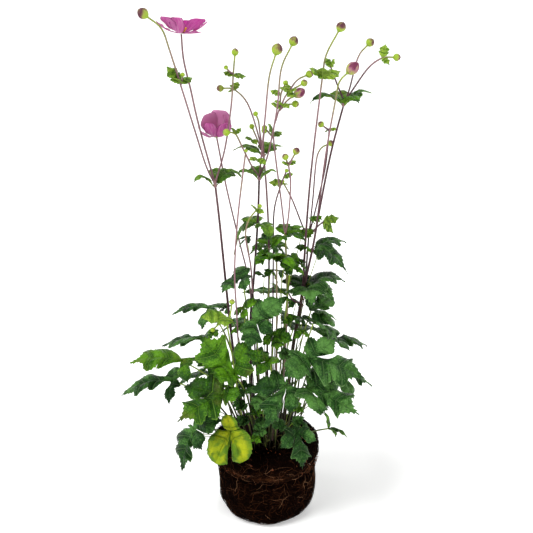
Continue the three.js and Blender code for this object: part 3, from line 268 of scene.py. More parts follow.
# Flowering stems: the foot in the soil, the tones of the foot, the end and the side shoots, the
# slot, the shoots and the tufts of bracts. A tone runs from 0, dark purple, through mauve at 0.45
# and olive at 0.65 to 1, lime; the dark tones at the feet are partly the stems' own purple and
# partly painted shade under the leaves. A shoot is a path, its first and last radius and, for a
# bud, the width and length of that. A tuft is its joint and the tips of its bracts. The last tufts
# of stem_mid_dark, stem_mid_pink and stem_mid_green are too small to be in their solids.
STEMS = {
    "stem_left": ((-24, -8), (0.12, 0.36, 0.42), "purple_stem", [
        ([(-38, -9, 181), (-45, -11, 247), (-51, -14, 314), (-59, -20, 416), (-64, -25, 472)], (1.9, 1.4)),
        ([(-64, -25, 470), (-74, -30, 493), (-85, -36, 533), (-101, -50, 595), (-112, -58, 636),
          (-120, -62, 660), (-136, -66, 674)], (1.1, 0.7), (12.5, 13)),
        ([(-64, -25, 470), (-83, -18, 542), (-92, -14, 584), (-100, -11, 620),
          (-102, -10, 650)], (1.2, 1.1)),
        ([(-64, -25, 470), (-52, -12, 510), (-44, 2, 560), (-41, 11, 600),
          (-39, 16, 623)], (1.1, 0.7), (8.5, 9)),
        ([(-101, -50, 595), (-99, -53, 601), (-98, -55, 606)], (0.6, 0.5), (5, 5)),
        ([(-41, 12, 600), (-46, 8, 604), (-49, 5, 608)], (0.6, 0.5), (5, 5)),
    ], [
        ((-101, -50, 596), [(-117, -50, 616), (-87, -41, 602), (-106, -66, 604)]),
        ((-41, 10, 598), [(-25, 16, 596), (-54, 14, 602)]),
    ]),
    "stem_low_bloom": ((-8, 18), (0.3, 0.5, 0.5), "purple_stem", [
        ([(-19, 30, 267), (-24, 30, 325), (-38, 28, 388), (-52, 22, 455), (-63, 15, 521)], (1.2, 0.9)),
    ], []),
    "stem_seedhead": ((-19, -27), (0.4, 0.55, 0.5), "olive_stem", [
        ([(-33, -42, 210), (-38, -46, 306), (-40, -46, 363), (-36, -44, 426), (-29, -42, 485),
          (-25, -42, 514)], (1.1, 0.7), (4.5, 4)),
    ], []),
    "stem_mid_dark": ((-12, -8), (0.02, 0.2, 0.44), "purple_stem", [
        ([(-20, -12, 197), (-21, -16, 282), (-16, -18, 348), (-11, -18, 422), (-9, -16, 479)], (1.8, 1.3)),
        ([(-9, -16, 477), (-17, -24, 490), (-29, -39, 518), (-37, -47, 536),
          (-45, -52, 539)], (0.9, 0.6), (8.5, 9)),
        ([(-9, -16, 477), (-2, -24, 549), (3, -29, 600), (11, -31, 629)], (1.1, 0.8), (13, 13.5)),
        ([(-9, -16, 477), (2, -12, 505), (13, -6, 560), (18, 2, 607),
          (31, 6, 636)], (1.1, 0.7), (11.5, 12)),
        ([(-18, -17, 320), (-20, -28, 363), (-26, -40, 405), (-22, -43, 428),
          (-9, -43, 445)], (0.8, 0.6), (5, 5)),
    ], [
        ((-37, -47, 536), [(-40, -56, 545), (-30, -44, 543)]),
        ((-13, -43, 441), [(-18, -54, 450), (-2, -48, 438)]),
        ((-11, -18, 500), [(-22, -26, 500), (0, -26, 494)]),
    ]),
    "stem_mid_pink": ((4, 22), (0.2, 0.46, 0.46), "purple_stem", [
        ([(1, 26, 209), (3, 28, 297), (3, 28, 381), (0, 26, 450), (-4, 24, 500)], (1.5, 1.2)),
        ([(-4, 24, 498), (-17, 36, 542), (-27, 41, 564), (-42, 45, 577),
          (-56, 47, 578)], (0.9, 0.6), (8.5, 9)),
        ([(-4, 24, 498), (-8, 16, 524), (-10, 10, 542), (-13, 4, 551)], (0.7, 0.5), (6, 6)),
        ([(-4, 24, 498), (-12, 34, 515), (-18, 40, 528)], (0.7, 0.5), (6.5, 7)),
        ([(-4, 24, 498), (-4, 24, 514), (-3, 24, 525)], (0.7, 0.5), (7, 7.5)),
    ], [
        ((-41, 45, 576), [(-36, 52, 586), (-44, 34, 584), (-50, 54, 572)]),
        ((-18, 30, 515), [(-28, 22, 518), (-12, 20, 510)]),
    ]),
    "stem_mid_green": ((13, -8), (0.42, 0.72, 0.5), "olive_stem", [
        ([(22, -8, 195), (27, -12, 297), (26, -12, 352), (24, -10, 401)], (1.5, 1.2)),
        ([(24, -10, 399), (19, -2, 440), (9, 14, 520), (13, 16, 546), (17, 17, 558)], (1, 0.8)),
        ([(16, 17, 554), (24, 18, 561), (33, 19, 562)], (0.6, 0.5), (8.5, 9)),
        ([(16, 17, 554), (26, 22, 566), (36, 25, 572)], (0.7, 0.6), (12.5, 15.5)),
        ([(17, 17, 556), (26, 15, 576), (44, 10, 588)], (0.7, 0.5), (8.5, 8.5)),
        ([(26, 15, 576), (38, 16, 592), (50, 17, 598)], (0.6, 0.5), (9, 9.5)),
        ([(17, 17, 556), (18, 20, 574), (23, 22, 586)], (0.6, 0.5), (6.5, 6.5)),
        ([(9, 14, 520), (-1, 10, 532)], (0.6, 0.5), (7, 7)),
        ([(24, -10, 399), (28, -16, 428), (30, -23, 470), (27, -26, 495)], (0.9, 0.7)),
        ([(27, -26, 493), (24, -28, 502)], (0.6, 0.5), (8, 8)),
        ([(27, -26, 493), (35, -29, 509)], (0.6, 0.5), (8.5, 9)),
    ], [
        ((17, 17, 557), [(5, 10, 564), (14, 32, 560)]),
        ((18, 20, 573), [(4, 24, 578)]),
        ((9, 14, 522), [(2, 4, 540), (20, 24, 526)]),
        ((27, -26, 494), [(37, -20, 498), (18, -32, 498)]),
        ((27, 12, 577), [(16, 2, 584), (38, 2, 582), (27, 24, 586), (33, -2, 572)]),
        ((20, 18, 562), [(9, 10, 566), (29, 8, 558)]),
    ]),
    "stem_thin": ((4, 6), (0.1, 0.4, 0.6), "purple_stem", [
        ([(8, 9, 260), (9, 9, 373), (10, 10, 427), (19, 9, 462), (25, 8, 478)], (1, 0.6), (5, 5)),
    ], [
        ((22, 8, 470), [(35, 4, 476)]),
    ]),
    "stem_woody": ((22, 6), (0, 0.1, 0.3), "woody_stem", [
        ([(30, 4, 182), (36, 4, 241), (43, 4, 284), (49, 4, 328)], (2.7, 2.2)),
        ([(49, 4, 322), (49, -2, 361), (53, -12, 446), (58, -18, 511), (67, -24, 600), (71, -30, 628),
          (85, -34, 656)], (1.6, 0.8), (11.5, 12)),
        ([(49, 4, 325), (60, 13, 372), (70, 20, 431), (83, 26, 500), (99, 29, 565)], (1.6, 1.2)),
        ([(99, 29, 563), (105, 32, 580), (115, 37, 618), (127, 39, 633)], (0.9, 0.6), (10.5, 10.5)),
        ([(99, 29, 563), (90, 38, 583), (81, 46, 606)], (0.7, 0.5)),
        ([(99, 29, 563), (109, 22, 581), (126, 12, 608), (142, 8, 620), (156, 6, 621)], (1, 0.6), (9, 9)),
        ([(49, 3, 320), (58, -14, 376), (63, -24, 417), (72, -38, 509), (82, -45, 577), (86, -46, 598),
          (96, -46, 609)], (1.2, 0.8), (14, 17)),
        ([(49, 4, 320), (52, 12, 342), (54, 22, 362), (56, 32, 387)], (1.3, 1.1)),
        ([(56, 32, 385), (61, 40, 433), (65, 45, 484), (71, 44, 501), (81, 42, 507)], (0.8, 0.5), (8, 8)),
        ([(56, 32, 385), (66, 39, 395), (76, 45, 402)], (0.7, 0.5)),
        ([(56, 32, 385), (69, 47, 435), (78, 54, 477), (82, 56, 525)], (0.9, 0.6)),
        ([(82, 56, 522), (73, 54, 529)], (0.6, 0.5), (8, 8)),
        ([(56, 32, 385), (49, 34, 396), (34, 40, 433), (22, 42, 456)], (0.8, 0.6), (5, 5)),
        ([(46, 3, 302), (36, 0, 306), (29, -2, 318), (28, -3, 330), (32, -4, 332)], (1, 0.7)),
    ], [
        ((82, 46, 604), [(74, 50, 616), (86, 40, 616)]),
        ((56, 32, 386), [(50, 60, 388)]),
        ((75, 45, 401), [(98, 48, 406), (90, 46, 385)]),
        ((67, -24, 599), [(50, -34, 612), (90, -12, 606), (66, -44, 614)]),
        ((142, 8, 620), [(146, 14, 636), (150, 0, 612)]),
        ((82, 56, 523), [(92, 50, 524), (78, 66, 518)]),
        ((23, 42, 454), [(2, 44, 455), (26, 54, 450)]),
    ]),
    "stem_young": ((8, -18), (0.5, 0.62, 0.6), "purple_stem", [
        ([(13, -22, 200), (13, -22, 374)], (1.4, 1.1)),
    ], []),
    "stem_lime": ((-28, -22), (0.8, 0.95, 0.95), "fresh_leaf", [
        ([(-36, -40, 180), (-46, -46, 260), (-52, -48, 302)], (1.1, 0.9)),
        ([(-50, -47, 290), (-46, -48, 306), (-44, -48, 320)], (0.7, 0.5), (7, 7)),
        ([(-52, -48, 300), (-67, -54, 288)], (0.6, 0.5), (6, 6)),
    ], [
        ((-52, -48, 302), [(-84, -56, 304), (-52, -74, 298)]),
    ]),
}

# Whorls: the joint, the way of the stem, the stem's radius, the leaves' tips, and by name how far
# a leaf arches and what is unusual.
WHORLS = {
    "whorl_left": ((-64, -25, 470), (-5, -5, 50), 1.4, [(-90, -38, 473), (-30, -8, 471), (-56, 8, 474)],
        dict(bow=0.8)),
    "whorl_dark_top": ((-9, -16, 477), (2, 2, 52), 1.3, [(-36, -32, 484), (12, -30, 486), (-16, 14, 481)],
        dict(bow=0.5)),
    "whorl_dark_low": ((-11.5, -18, 416), (5, 0, 74), 1.4, [(-42, -16, 375), (7, -46, 400), (-26, 18, 400)],
        dict(bow=0.6)),
    "whorl_pink": ((-4, 24, 498), (-4, -2, 50), 1.2, [(-43, 34, 500), (22, 34, 505), (4, 56, 505)],
        dict(bow=0.45)),
    "whorl_pink_low": ((3, 28, 374), (0, 0, 1), 1.4, [(-22, 12, 366), (30, 14, 372), (0, 60, 372)],
        dict(bow=0.45, look="fresh", outline="cut")),
    "whorl_green": ((24, -10, 399), (-3, 0, 49), 1.2, [(6, -38, 388), (50, -32, 396), (50, 14, 402),
        (22, 26, 402)], dict(bow=0.4, look="fresh")),
    "whorl_woody": ((48, 4, 318), (6, 0, 44), 2.3, [(89, -26, 312), (58, -50, 316), (104, 12, 328),
        (42, 50, 318)], dict(bow=0.6, look="deep", outline="cut")),
    "whorl_woody_high": ((60, 13, 374), (5, 6, 28), 1.6, [(106, -8, 345), (106, 26, 378)],
        dict(bow=0.4, look="deep", outline="cut")),
    "whorl_red": ((98, 29, 562), (12, 2, 43), 1.3, [(54, 12, 564), (134, 42, 572), (92, 66, 568),
        (114, -6, 566)], dict(bow=0.5, look="fresh")),
    "whorl_young": ((13, -22, 372), (0, 0, 1), 1.1, [(-16, -50, 374), (36, -52, 366), (6, -62, 384)],
        dict(bow=0.4, look="fresh")),
}

# Open blooms. A petal is its angle in degrees, how far out and how high its tip and its belly lie,
# its shade, from 0, pale outside and vivid inside, to 1, dark outside and pale inside, and its
# width against the outline's. The shade is partly the petal's own colour and partly painted light
# and shade: dark on outsides turned down and to the front, pale on insides that the cup shadows.
# The narrow ones leave a view into the bloom.
BLOOMS = {
    "high": ((-102, -10, 650), (0.1, 0.06, 0.99), [
        (182, 31, 12, 20, 0, 0.7, 0.95),
        (222, 27, 18, 17, 4, 0.1, 0.95),
        (258, 25, 19, 20, 0, 0.25, 0.7),
        (318, 28, 5, 17, 1, 0.8, 0.9),
        (2, 30, 17, 18, 2, 0, 0.95),
        (46, 29, 20, 16, 5, 0.1, 0.95),
        (90, 28, 16, 17, 1, 0, 0.95),
        (136, 28, 18, 16, 5, 0.2, 0.95),
    ]),
    "low": ((-63, 15, 521), (-0.06, -0.1, 0.98), [
        (190, 22, 15, 20, 1, 0.9, 1),
        (242, 14, 22, 16, 4, 0.45, 0.84),
        (310, 19, 21, 20, 1, 0.35, 0.88),
        (10, 12, 27, 16, 4, 0.9, 1),
        (70, 15, 31, 20, 1, 1, 0.9),
        (130, 12, 29, 16, 4, 1, 0.95),
    ]),
}

# Little leaves: the foot of the stalk, in the soil or on a stem, the leaf's node, the middle
# leaflet's tip, and the look.
SMALL_LEAVES = [
    ((-20, -30), (-26, -58, 158), (-40, -64, 170), "deep"),
    ((-10, -36), (-12, -62, 146), (2, -72, 150), "deep"),
    ((24, -34), (36, -58, 158), (50, -64, 168), "deep"),
    ((-30, 20), (-40, 40, 152), (-52, 50, 156), "deep"),
    ((20, 30), (30, 50, 156), (40, 62, 160), "fresh"),
    ((-30, -20), (-61, -26, 286), (-77, -34, 294), "fresh"),
    ((-34, -22), (-67, -34, 277), (-76, -42, 266), "fresh"),
    ((-20, 6), (-52, 4, 296), (-68, -4, 284), "deep"),
    ((-12, -12), (-30, -12, 275), (-48, -20, 266), "fresh"),
    ((20, -20), (50, -26, 274), (34, -34, 265), "fresh"),
    ((-4, -30), (-5, -40, 250), (-18, -48, 232), "deep"),
    ((12, -30), (21, -38, 249), (36, -46, 236), "deep"),
    ((-14, -34), (-26, -44, 205), (-38, -54, 188), "deep"),
    ((4, -36), (-3, -46, 187), (10, -56, 171), "deep"),
    ((-40, -20), (-94, -30, 126), (-103, -38, 109), "deep"),
    ((30, -10), (70, -20, 171), (84, -28, 162), "deep"),
    ((-14, -18, 372), (1, -30, 382), (-15, -40, 368), "fresh"),
    ((3, 28, 366), (13, 12, 378), (26, 4, 363), "deep"),
    ((26, -12, 356), (22, -24, 368), (34, -32, 356), "fresh"),
    ((-13, -18, 392), (-5, -28, 401), (10, -36, 408), "deep"),
    ((52, 4, 370), (54, -4, 380), (34, -12, 382), "fresh"),
    ((42, 4, 276), (40, -12, 288), (18, -20, 281), "fresh"),
    ((27, -12, 308), (27, -22, 318), (16, -30, 312), "fresh"),
    ((48, 4, 322), (60, 0, 330), (74, -8, 321), "deep"),
    ((-4, 10, 310), (-3, 14, 336), (-18, 6, 344), "deep"),
    ((20, 20), (20, 18, 341), (34, 10, 329), "deep"),
    ((-2, -6), (5, 6, 347), (15, -4, 332), "fresh"),
    ((62, 4, 410), (58, 0, 416), (71, -8, 424), "fresh"),
    ((30, -12, 350), (39, -6, 363), (52, -16, 353), "fresh"),
    ((-20, -30), (-79, -52, 170), (-66, -60, 144), "deep"),
    ((-30, -20), (-90, -46, 178), (-108, -54, 168), "deep"),
    ((-12, -30), (-55, -40, 201), (-43, -48, 185), "fresh"),
    ((12, 4), (45, -2, 396), (60, -10, 407), "fresh"),
    ((30, 10), (70, 4, 380), (84, -4, 372), "deep"),
    ((-10, 12), (-25, 6, 391), (-36, -2, 380), "deep"),
    ((8, -8), (23, -8, 362), (39, -16, 354), "fresh"),
    ((-4, -36), (-35, -44, 130), (-24, -52, 116), "deep"),
    ((10, 20), (3, 14, 302), (17, 6, 292), "deep"),
    ((20, 20), (40, 10, 303), (27, 2, 294), "deep"),
    ((0, 20), (-5, 8, 279), (-20, 0, 267), "deep"),
    ((30, 12), (49, 6, 279), (64, -2, 268), "deep"),
    ((6, 12), (20, 4, 317), (5, -4, 332), "fresh"),
    ((-14, -36), (-30, -50, 176), (-44, -59, 192), "deep"),
    ((-10, -40), (-18, -52, 168), (-3, -63, 186), "fresh"),
    ((0, -42), (-4, -58, 159), (-18, -69, 151), "deep"),
    ((12, -42), (13, -58, 157), (28, -68, 150), "deep"),
    ((22, -30), (34, -48, 178), (50, -58, 171), "fresh"),
    ((28, -34), (45, -54, 157), (36, -64, 142), "deep"),
    ((-20, -26), (-37, -40, 193), (-53, -50, 184), "fresh"),
    ((4, -34), (5, -44, 180), (-8, -54, 197), "deep"),
    ((-38, -22), (-102, -34, 124), (-115, -44, 106), "deep"),
    ((-34, -28), (-80, -40, 140), (-94, -50, 158), "deep"),
    ((-16, -44), (-18, -68, 141), (-6, -77, 138), "fresh"),
]


def metres(value):
    """A number or a nest of numbers out of the tables, which give millimetres."""
    return [metres(part) for part in value] if isinstance(value, (list, tuple)) else value / 1000


def unit(vector):
    """The same direction, one long."""
    return vector / np.linalg.norm(vector)


def outward(turn):
    """The level way out at an angle, in radians."""
    return np.array((math.cos(turn), math.sin(turn), 0.0))


def between(start, stop, share):
    """What lies a share of the way from start to stop."""
    return start + (stop - start) * share


def shares(path):
    """How far along each point of a path is, from 0 to 1."""
    return np.linspace(0, 1, len(path))


def smooth_curve(points, spacing):
    """Places about `spacing` apart on the smooth curve through the points."""
    points = np.array(points, float)
    ends = (2 * points[0] - points[1], 2 * points[-1] - points[-2])
    held = np.vstack((ends[0], points, ends[1]))
    places = [points[:1]]
    for before, start, stop, after in zip(held, held[1:], held[2:], held[3:]):
        count = max(2, math.ceil(np.linalg.norm(stop - start) / spacing))
        t = (np.arange(1, count + 1) / count)[:, None]
        slope_in, slope_out = (stop - before) / 2, (after - start) / 2
        places.append(
            start * (2 * t**3 - 3 * t**2 + 1) + slope_in * (t**3 - 2 * t**2 + t)
            + stop * (3 * t**2 - 2 * t**3) + slope_out * (t**3 - t**2)
        )
    return np.concatenate(places)


def grid_faces(rows, columns, ring=False):
    """Four-sided faces of a grid of points, held row by row. A ring joins each row's ends."""
    across = columns if ring else columns - 1
    row, column = np.meshgrid(np.arange(rows - 1), np.arange(across), indexing="ij")
    near = row * columns + column
    beside = row * columns + (column + 1) % columns
    return np.stack((near, beside, beside + columns, near + columns), axis=-1).reshape(-1, 4)


def add_object(name, data):
    """Puts a new object into the scene."""
    thing = bpy.data.objects.new(name, data)
    bpy.context.scene.collection.objects.link(thing)
    return thing


class Piece:
    """Collects points and faces, then makes them one object that rides on the plant."""

    def __init__(self):
        self.points, self.faces, self.looks, self.uvs, self.tones = [], [], [], [], []
        self.count = 0

    def add(self, points, faces, look, tone, uv=(0.0, 0.0)):
        """look names the material, tone is a shade from 0 to 1, uv a place in the pattern."""
        points = np.asarray(points, float).reshape(-1, 3)
        self.points.append(points)
        self.faces.append(np.asarray(faces) + self.count)
        self.looks += [look] * len(faces)
        uv = np.asarray(uv, float).reshape(-1, 2)
        self.uvs.append(np.broadcast_to(uv, (len(points), 2)))
        self.tones.append(np.broadcast_to(np.asarray(tone, float).ravel(), len(points)))
        self.count += len(points)

    def finish(self, name, slot, *nodes):
        """Makes the object, which stands for the CAD nodes that are named."""
        mesh = bpy.data.meshes.new(name)
        mesh.from_pydata(np.concatenate(self.points).tolist(), [], np.concatenate(self.faces).tolist())
        used = sorted(set(self.looks))
        mesh.polygons.foreach_set("material_index", [used.index(look) for look in self.looks])
        for look in used:
            mesh.materials.append(LOOKS[look])
        corners = np.empty(len(mesh.loops), np.int32)
        mesh.loops.foreach_get("vertex_index", corners)
        pattern = mesh.uv_layers.new(name="pattern")
        pattern.data.foreach_set("uv", np.concatenate(self.uvs)[corners].ravel())
        tones = mesh.attributes.new("tone", "FLOAT", "POINT")
        tones.data.foreach_set("value", np.concatenate(self.tones))
        weld(mesh)
        thing = add_object(name, mesh)
        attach(thing, "root")
        if nodes:
            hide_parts(*nodes)


def weld(mesh):
    """Joins points that coincide, shades smooth, and keeps a crease where two materials meet."""
    work = bmesh.new()
    work.from_mesh(mesh)
    bmesh.ops.remove_doubles(work, verts=work.verts, dist=WELD_DISTANCE)
    for face in work.faces:
        face.smooth = True
    for edge in work.edges:
        sides = edge.link_faces
        if len(sides) == 2 and sides[0].material_index != sides[1].material_index:
            edge.smooth = False
    work.to_mesh(mesh)
    work.free()


def tube(piece, path, radii, look, tone, sides=8, uv=(0.0, 0.0)):
    """A round stalk along a path, closed at both ends."""
    path = np.asarray(path, float)
    radii = np.broadcast_to(np.asarray(radii, float), len(path))
    tone = np.broadcast_to(np.asarray(tone, float), len(path))
    ways = np.gradient(path, axis=0)
    ways /= np.linalg.norm(ways, axis=1)[:, None]
    normal = unit(np.cross(ways[0], (1.0, 0.3, 0.2) if abs(ways[0][0]) < 0.8 else (0.0, 1.0, 0.2)))
    normals = []
    for way in ways:
        normal = unit(normal - way * normal.dot(way))
        normals.append(normal)
    normals = np.array(normals)
    turns = (np.arange(sides) * 2 * math.pi / sides)[:, None]
    spokes = normals[:, None] * np.cos(turns) + np.cross(ways, normals)[:, None] * np.sin(turns)
    rings = path[:, None] + radii[:, None, None] * spokes
    first, last = np.tile(path[0], (1, sides, 1)), np.tile(path[-1], (1, sides, 1))
    rings = np.concatenate((first, rings, last))
    tone = np.repeat(np.concatenate((tone[:1], tone, tone[-1:])), sides)
    piece.add(rings, grid_faces(len(rings), sides, ring=True), look, tone, uv)


def pod(piece, middle, way, size, look, tone, sides, rings, blunt):
    """A round grain that lies along way. size is half its length and its radius; blunt widens its
    ends."""
    steps = np.linspace(-1, 1, rings)
    path = middle + steps[:, None] * way * size[0]
    tube(piece, path, size[1] * np.sqrt(1 + blunt - steps**2), look, tone, sides)


class Midrib:
    """The arched line down the middle of a blade that faces one way."""

    def __init__(self, start, stop, face, bow=0.0, peak=0.5, top=None):
        self.start, self.stop = np.array(start, float), np.array(stop, float)
        self.face = unit(np.array(face, float))
        span = self.stop - self.start
        self.top = self.start + span * peak + self.face * bow * np.linalg.norm(span) if top is None else top
        self.length = 0.0
        line = self.frame(np.linspace(0, 1, MIDRIB_PLACES))[0]
        self.length = np.linalg.norm(np.diff(line, axis=0), axis=1).sum()

    def frame(self, share):
        """Places, and the ways up and to the side, at shares of the line. A negative share lies
        straight back from its start."""
        t = np.clip(share, 0, 1)[..., None]
        place = (1 - t) ** 2 * self.start + 2 * t * (1 - t) * self.top + t**2 * self.stop
        along = (1 - t) * (self.top - self.start) + t * (self.stop - self.top)
        along /= np.linalg.norm(along, axis=-1, keepdims=True)
        place = place + along * (np.minimum(share, 0) * self.length)[..., None]
        up = self.face - along * (along @ self.face)[..., None]
        up /= np.linalg.norm(up, axis=-1, keepdims=True)
        return place, up, np.cross(along, up)


def vein_numbers(widths):
    """A number for each corner of an edge that is whole where a vein runs out to a lobe's tip."""
    rows = range(1, len(widths) - 1)
    lobes = [i for i in rows if widths[i] > widths[i - 1] and widths[i] >= widths[i + 1]]
    known = [0, *lobes, len(widths) - 1]
    return np.interp(range(len(widths)), known, range(len(known)))


def edge_corners(outline, feet, width, bare):
    """The corners of both sides of a blade, from foot to tip, and the vein that each lies on."""
    rest = 1 - bare
    shape = [
        (bare + u * rest, bare + a * rest, w * rest * width, lift * rest)
        for u, a, w, lift in OUTLINES[outline]
    ]
    sides = []
    for foot in feet:
        least = [foot[-1][1] + CORNERS_APART * (i + 1) for i in range(len(shape))]
        beyond = [(u, max(a, low), w, lift) for (u, a, w, lift), low in zip(shape, least)]
        sides.append([*foot, *beyond, (1.0, 1.0, 0.0, 0.0)])
    return np.array(sides), vein_numbers([*([0.0] * len(feet[0])), *(corner[2] for corner in shape), 0.0])


def edge_rows(outline, feet, width, bare, seed):
    """Fine rows of both edges of a blade. Returns where each meets the midrib, the vein it lies on,
    and for both sides how far along it is, its half width and its lift. feet holds the corners
    that each side starts with."""
    corners, veins = edge_corners(outline, feet, width, bare)
    if outline not in TEETH:
        rows = [smooth_curve(np.column_stack((side, veins)), SMOOTH_PITCH) for side in corners]
        return rows[0][:, 0], rows[0][:, 4], *(np.stack([row[:, k] for row in rows]) for k in (1, 2, 3))
    spans = np.linalg.norm(np.diff(corners[..., 1:3], axis=1), axis=-1)
    pitch, depth = TEETH[outline]
    chance = random.Random(seed)
    rows, numbers = [], []
    for k, span in enumerate(spans.mean(axis=0)):
        near, far = corners[:, k], corners[:, k + 1]
        step_a, step_w = (far - near)[:, 1], (far - near)[:, 2]
        bulge = np.where(step_w > 0, BULGES[0], BULGES[1])
        if k == spans.shape[1] - 1 and outline != "round":
            bulge = np.full(2, BULGES[2])
        teeth = max(2, round(span / pitch))
        for tooth in range(teeth):
            size = depth * np.array([chance.uniform(0.6, 1.3) for _ in feet])
            for part, out in TOOTH:
                t = (tooth + part) / teeth
                reach = np.maximum(spans[:, k], depth)
                swell = bulge * math.sin(math.pi * t) + size / reach * out * min(1, 4 * (1 - t))
                row = between(near, far, t)
                row[:, 1] -= step_w * swell
                row[:, 2] += np.abs(step_a) * swell
                rows.append(row)
                numbers.append(between(veins[k], veins[k + 1], t))
    sides = np.stack([*rows, corners[:, -1]], axis=1)
    return sides[0, :, 0], np.array([*numbers, veins[-1]]), *(sides[..., k] for k in (1, 2, 3))


def add_sheet(piece, middle, half, looks, tone, uv=(0.0, 0.0)):
    """A thin closed sheet: a grid of places, each with half of the way through the sheet."""
    faces = grid_faces(*middle.shape[:2])
    piece.add(middle + half, faces, looks[0], tone, uv)
    piece.add(middle - half, faces[:, ::-1], looks[1], tone, uv)


def blade(piece, midrib, outline, look, seed, shade, width, bare=0.0, feet=None, rooms=None,
          seams=(None, None), across=ACROSS, arch=0.12, quilt=0.1, ruffle=0.02, rib=None):
    """A thin closed blade whose two sides have their own teeth, bulging between its veins. A side
    may keep within room, its angle from the midrib, and start on a seam with the leaflet beside
    it: the far end of a line from the node, with its way up."""
    chance = random.Random(seed)
    foot = [(bare, bare, FOOT if bare else 0.0, 0.0)]
    u, vein, a, w, lift = edge_rows(outline, feet or (foot, foot), width, bare, seed)
    if rooms:
        limit = np.minimum(np.array(rooms) * SECTOR, WIDEST_TURN)[:, None]
        w = np.where(a > 0, np.minimum(w, a * np.tan(limit)), w)
    w *= np.array([[chance.uniform(0.95, 1.05)] for _ in range(2)])
    waves, phase = chance.uniform(2.0, 3.5), chance.uniform(0, 2 * math.pi)
    v = np.linspace(-1, 1, 2 * across + 1)[None, :]
    reach = np.abs(v)
    a, w, lift = (np.where(v < 0, edge[0][:, None], edge[1][:, None]) for edge in (a, w, lift))
    share = u[:, None] * (1 - reach) + a * reach
    place, up, side = midrib.frame(share)
    height = lift * reach**2 + arch * w * np.sin(math.pi * reach)
    height += quilt * w * np.sin(math.pi * vein[:, None]) ** 2 * np.sin(math.pi * reach**0.8)
    height += ruffle * reach**3 * np.sin(2 * math.pi * waves * share + phase + np.sign(v))
    middle = place + (side * (w * v)[..., None] + up * height[..., None]) * midrib.length
    rows = np.arange(len(u))
    taper = np.minimum(1, np.minimum(rows, rows[::-1]) / THIN_ROWS)[:, None] * np.ones_like(v)
    for hand, seam in zip((-1, 1), seams):
        if seam is None:
            continue
        mine = np.sign(v[0]) == hand
        out = reach[0, mine][:, None]
        spots = between(midrib.start, seam[0], out)
        fade = np.exp(-(rows / SEAM_ROWS) ** 2)[:, None, None]
        middle[:, mine] += fade * (spots - middle[0, mine])
        up[0, mine] = between(midrib.face, seam[1], out)
        taper[0, mine] = np.minimum(1, 4 * out[:, 0])
    half = up * (taper * (1 - reach**8) * BLADE_THICKNESS / 2)[..., None]
    uv = np.stack(np.broadcast_arrays(vein[:, None], 0.5 + 0.5 * v), axis=-1)
    add_sheet(piece, middle, half, (f"{look}_top", f"{look}_under"), shade, uv)
    if rib:
        add_rib(piece, midrib, rib, f"{look}_under", shade)


def add_rib(piece, midrib, thick, look, shade):
    """The stalk of a blade, which runs on along the underside of its midrib."""
    share = np.linspace(0.0, RIB_REACH, RIB_RINGS)
    place, up, _ = midrib.frame(share)
    radii = between(thick, RIB_END, share)
    path = place - up * (RIB_DOWN + 0.7 * radii)[:, None]
    tube(piece, path, radii, look, shade, 6, (0.0, 0.5))


def leaf_face(node, lean):
    """The way a leaf faces: up, and out from the middle of the plant."""
    return unit(UP + lean * unit(np.array((node[0], node[1], 0.0))))


def rooted(root):
    """From inside the soil straight up."""
    return [(*root, SOIL_Z - ROOTED_DEPTH), (*root, SOIL_Z + ABOVE_SOIL)]


def petiole_points(root, node):
    """From inside the soil straight up, then bending out to the leaf."""
    bend = [between(root[k], node[k], PETIOLE_BEND_OUT) for k in (0, 1)]
    return [*rooted(root), (*bend, between(SOIL_Z, node[2], PETIOLE_BEND_UP)), node]


def in_order(tips, node, face):
    """The leaflets' numbers in order round their node, the widest gap last, and their gaps."""
    across = unit(np.cross((1.0, 0.0, 0.0), face))
    beyond = np.cross(face, across)
    spokes = np.array(tips) - node
    turns = [math.atan2(spoke.dot(beyond), spoke.dot(across)) for spoke in spokes]
    order = sorted(range(len(tips)), key=lambda i: turns[i])
    gaps = [(turns[after] - turns[i]) % (2 * math.pi) for i, after in zip(order, order[1:] + order[:1])]
    widest = gaps.index(max(gaps)) + 1
    return order[widest:] + order[:widest], gaps[widest:] + gaps[:widest]


def seam_between(one, other, gap, fused):
    """The far end of the line along which two leaflets are fused, and its way up."""
    reach = fused * min(one.length, other.length)
    ends = []
    for midrib, hand in ((one, -1), (other, 1)):
        place, up, side = midrib.frame(np.array(reach * math.cos(gap / 2) / midrib.length))
        ends.append((place + side * hand * reach * math.sin(gap / 2), up))
    return (ends[0][0] + ends[1][0]) / 2, unit(ends[0][1] + ends[1][1])


def leaflet_foot(shape, width, gap, fused_share):
    """The first corners of one side of a leaflet, which is free or fused to the one beside it."""
    if fused_share is None:
        meets, along, out, lift = FREE_FOOT
        return [(0.0, 0.0, 0.0, 0.0), (meets, along, out * width, lift)]
    _, along, out, _ = OUTLINES[shape][0]
    start = (fused_share * math.cos(gap / 2), fused_share * math.sin(gap / 2))
    second = (between(start[0], along, FUSED_FOOT), between(start[1], out * width, FUSED_FOOT))
    return [(0.0, *start, 0.0), (FREE_FOOT[0], *second, 0.0)]


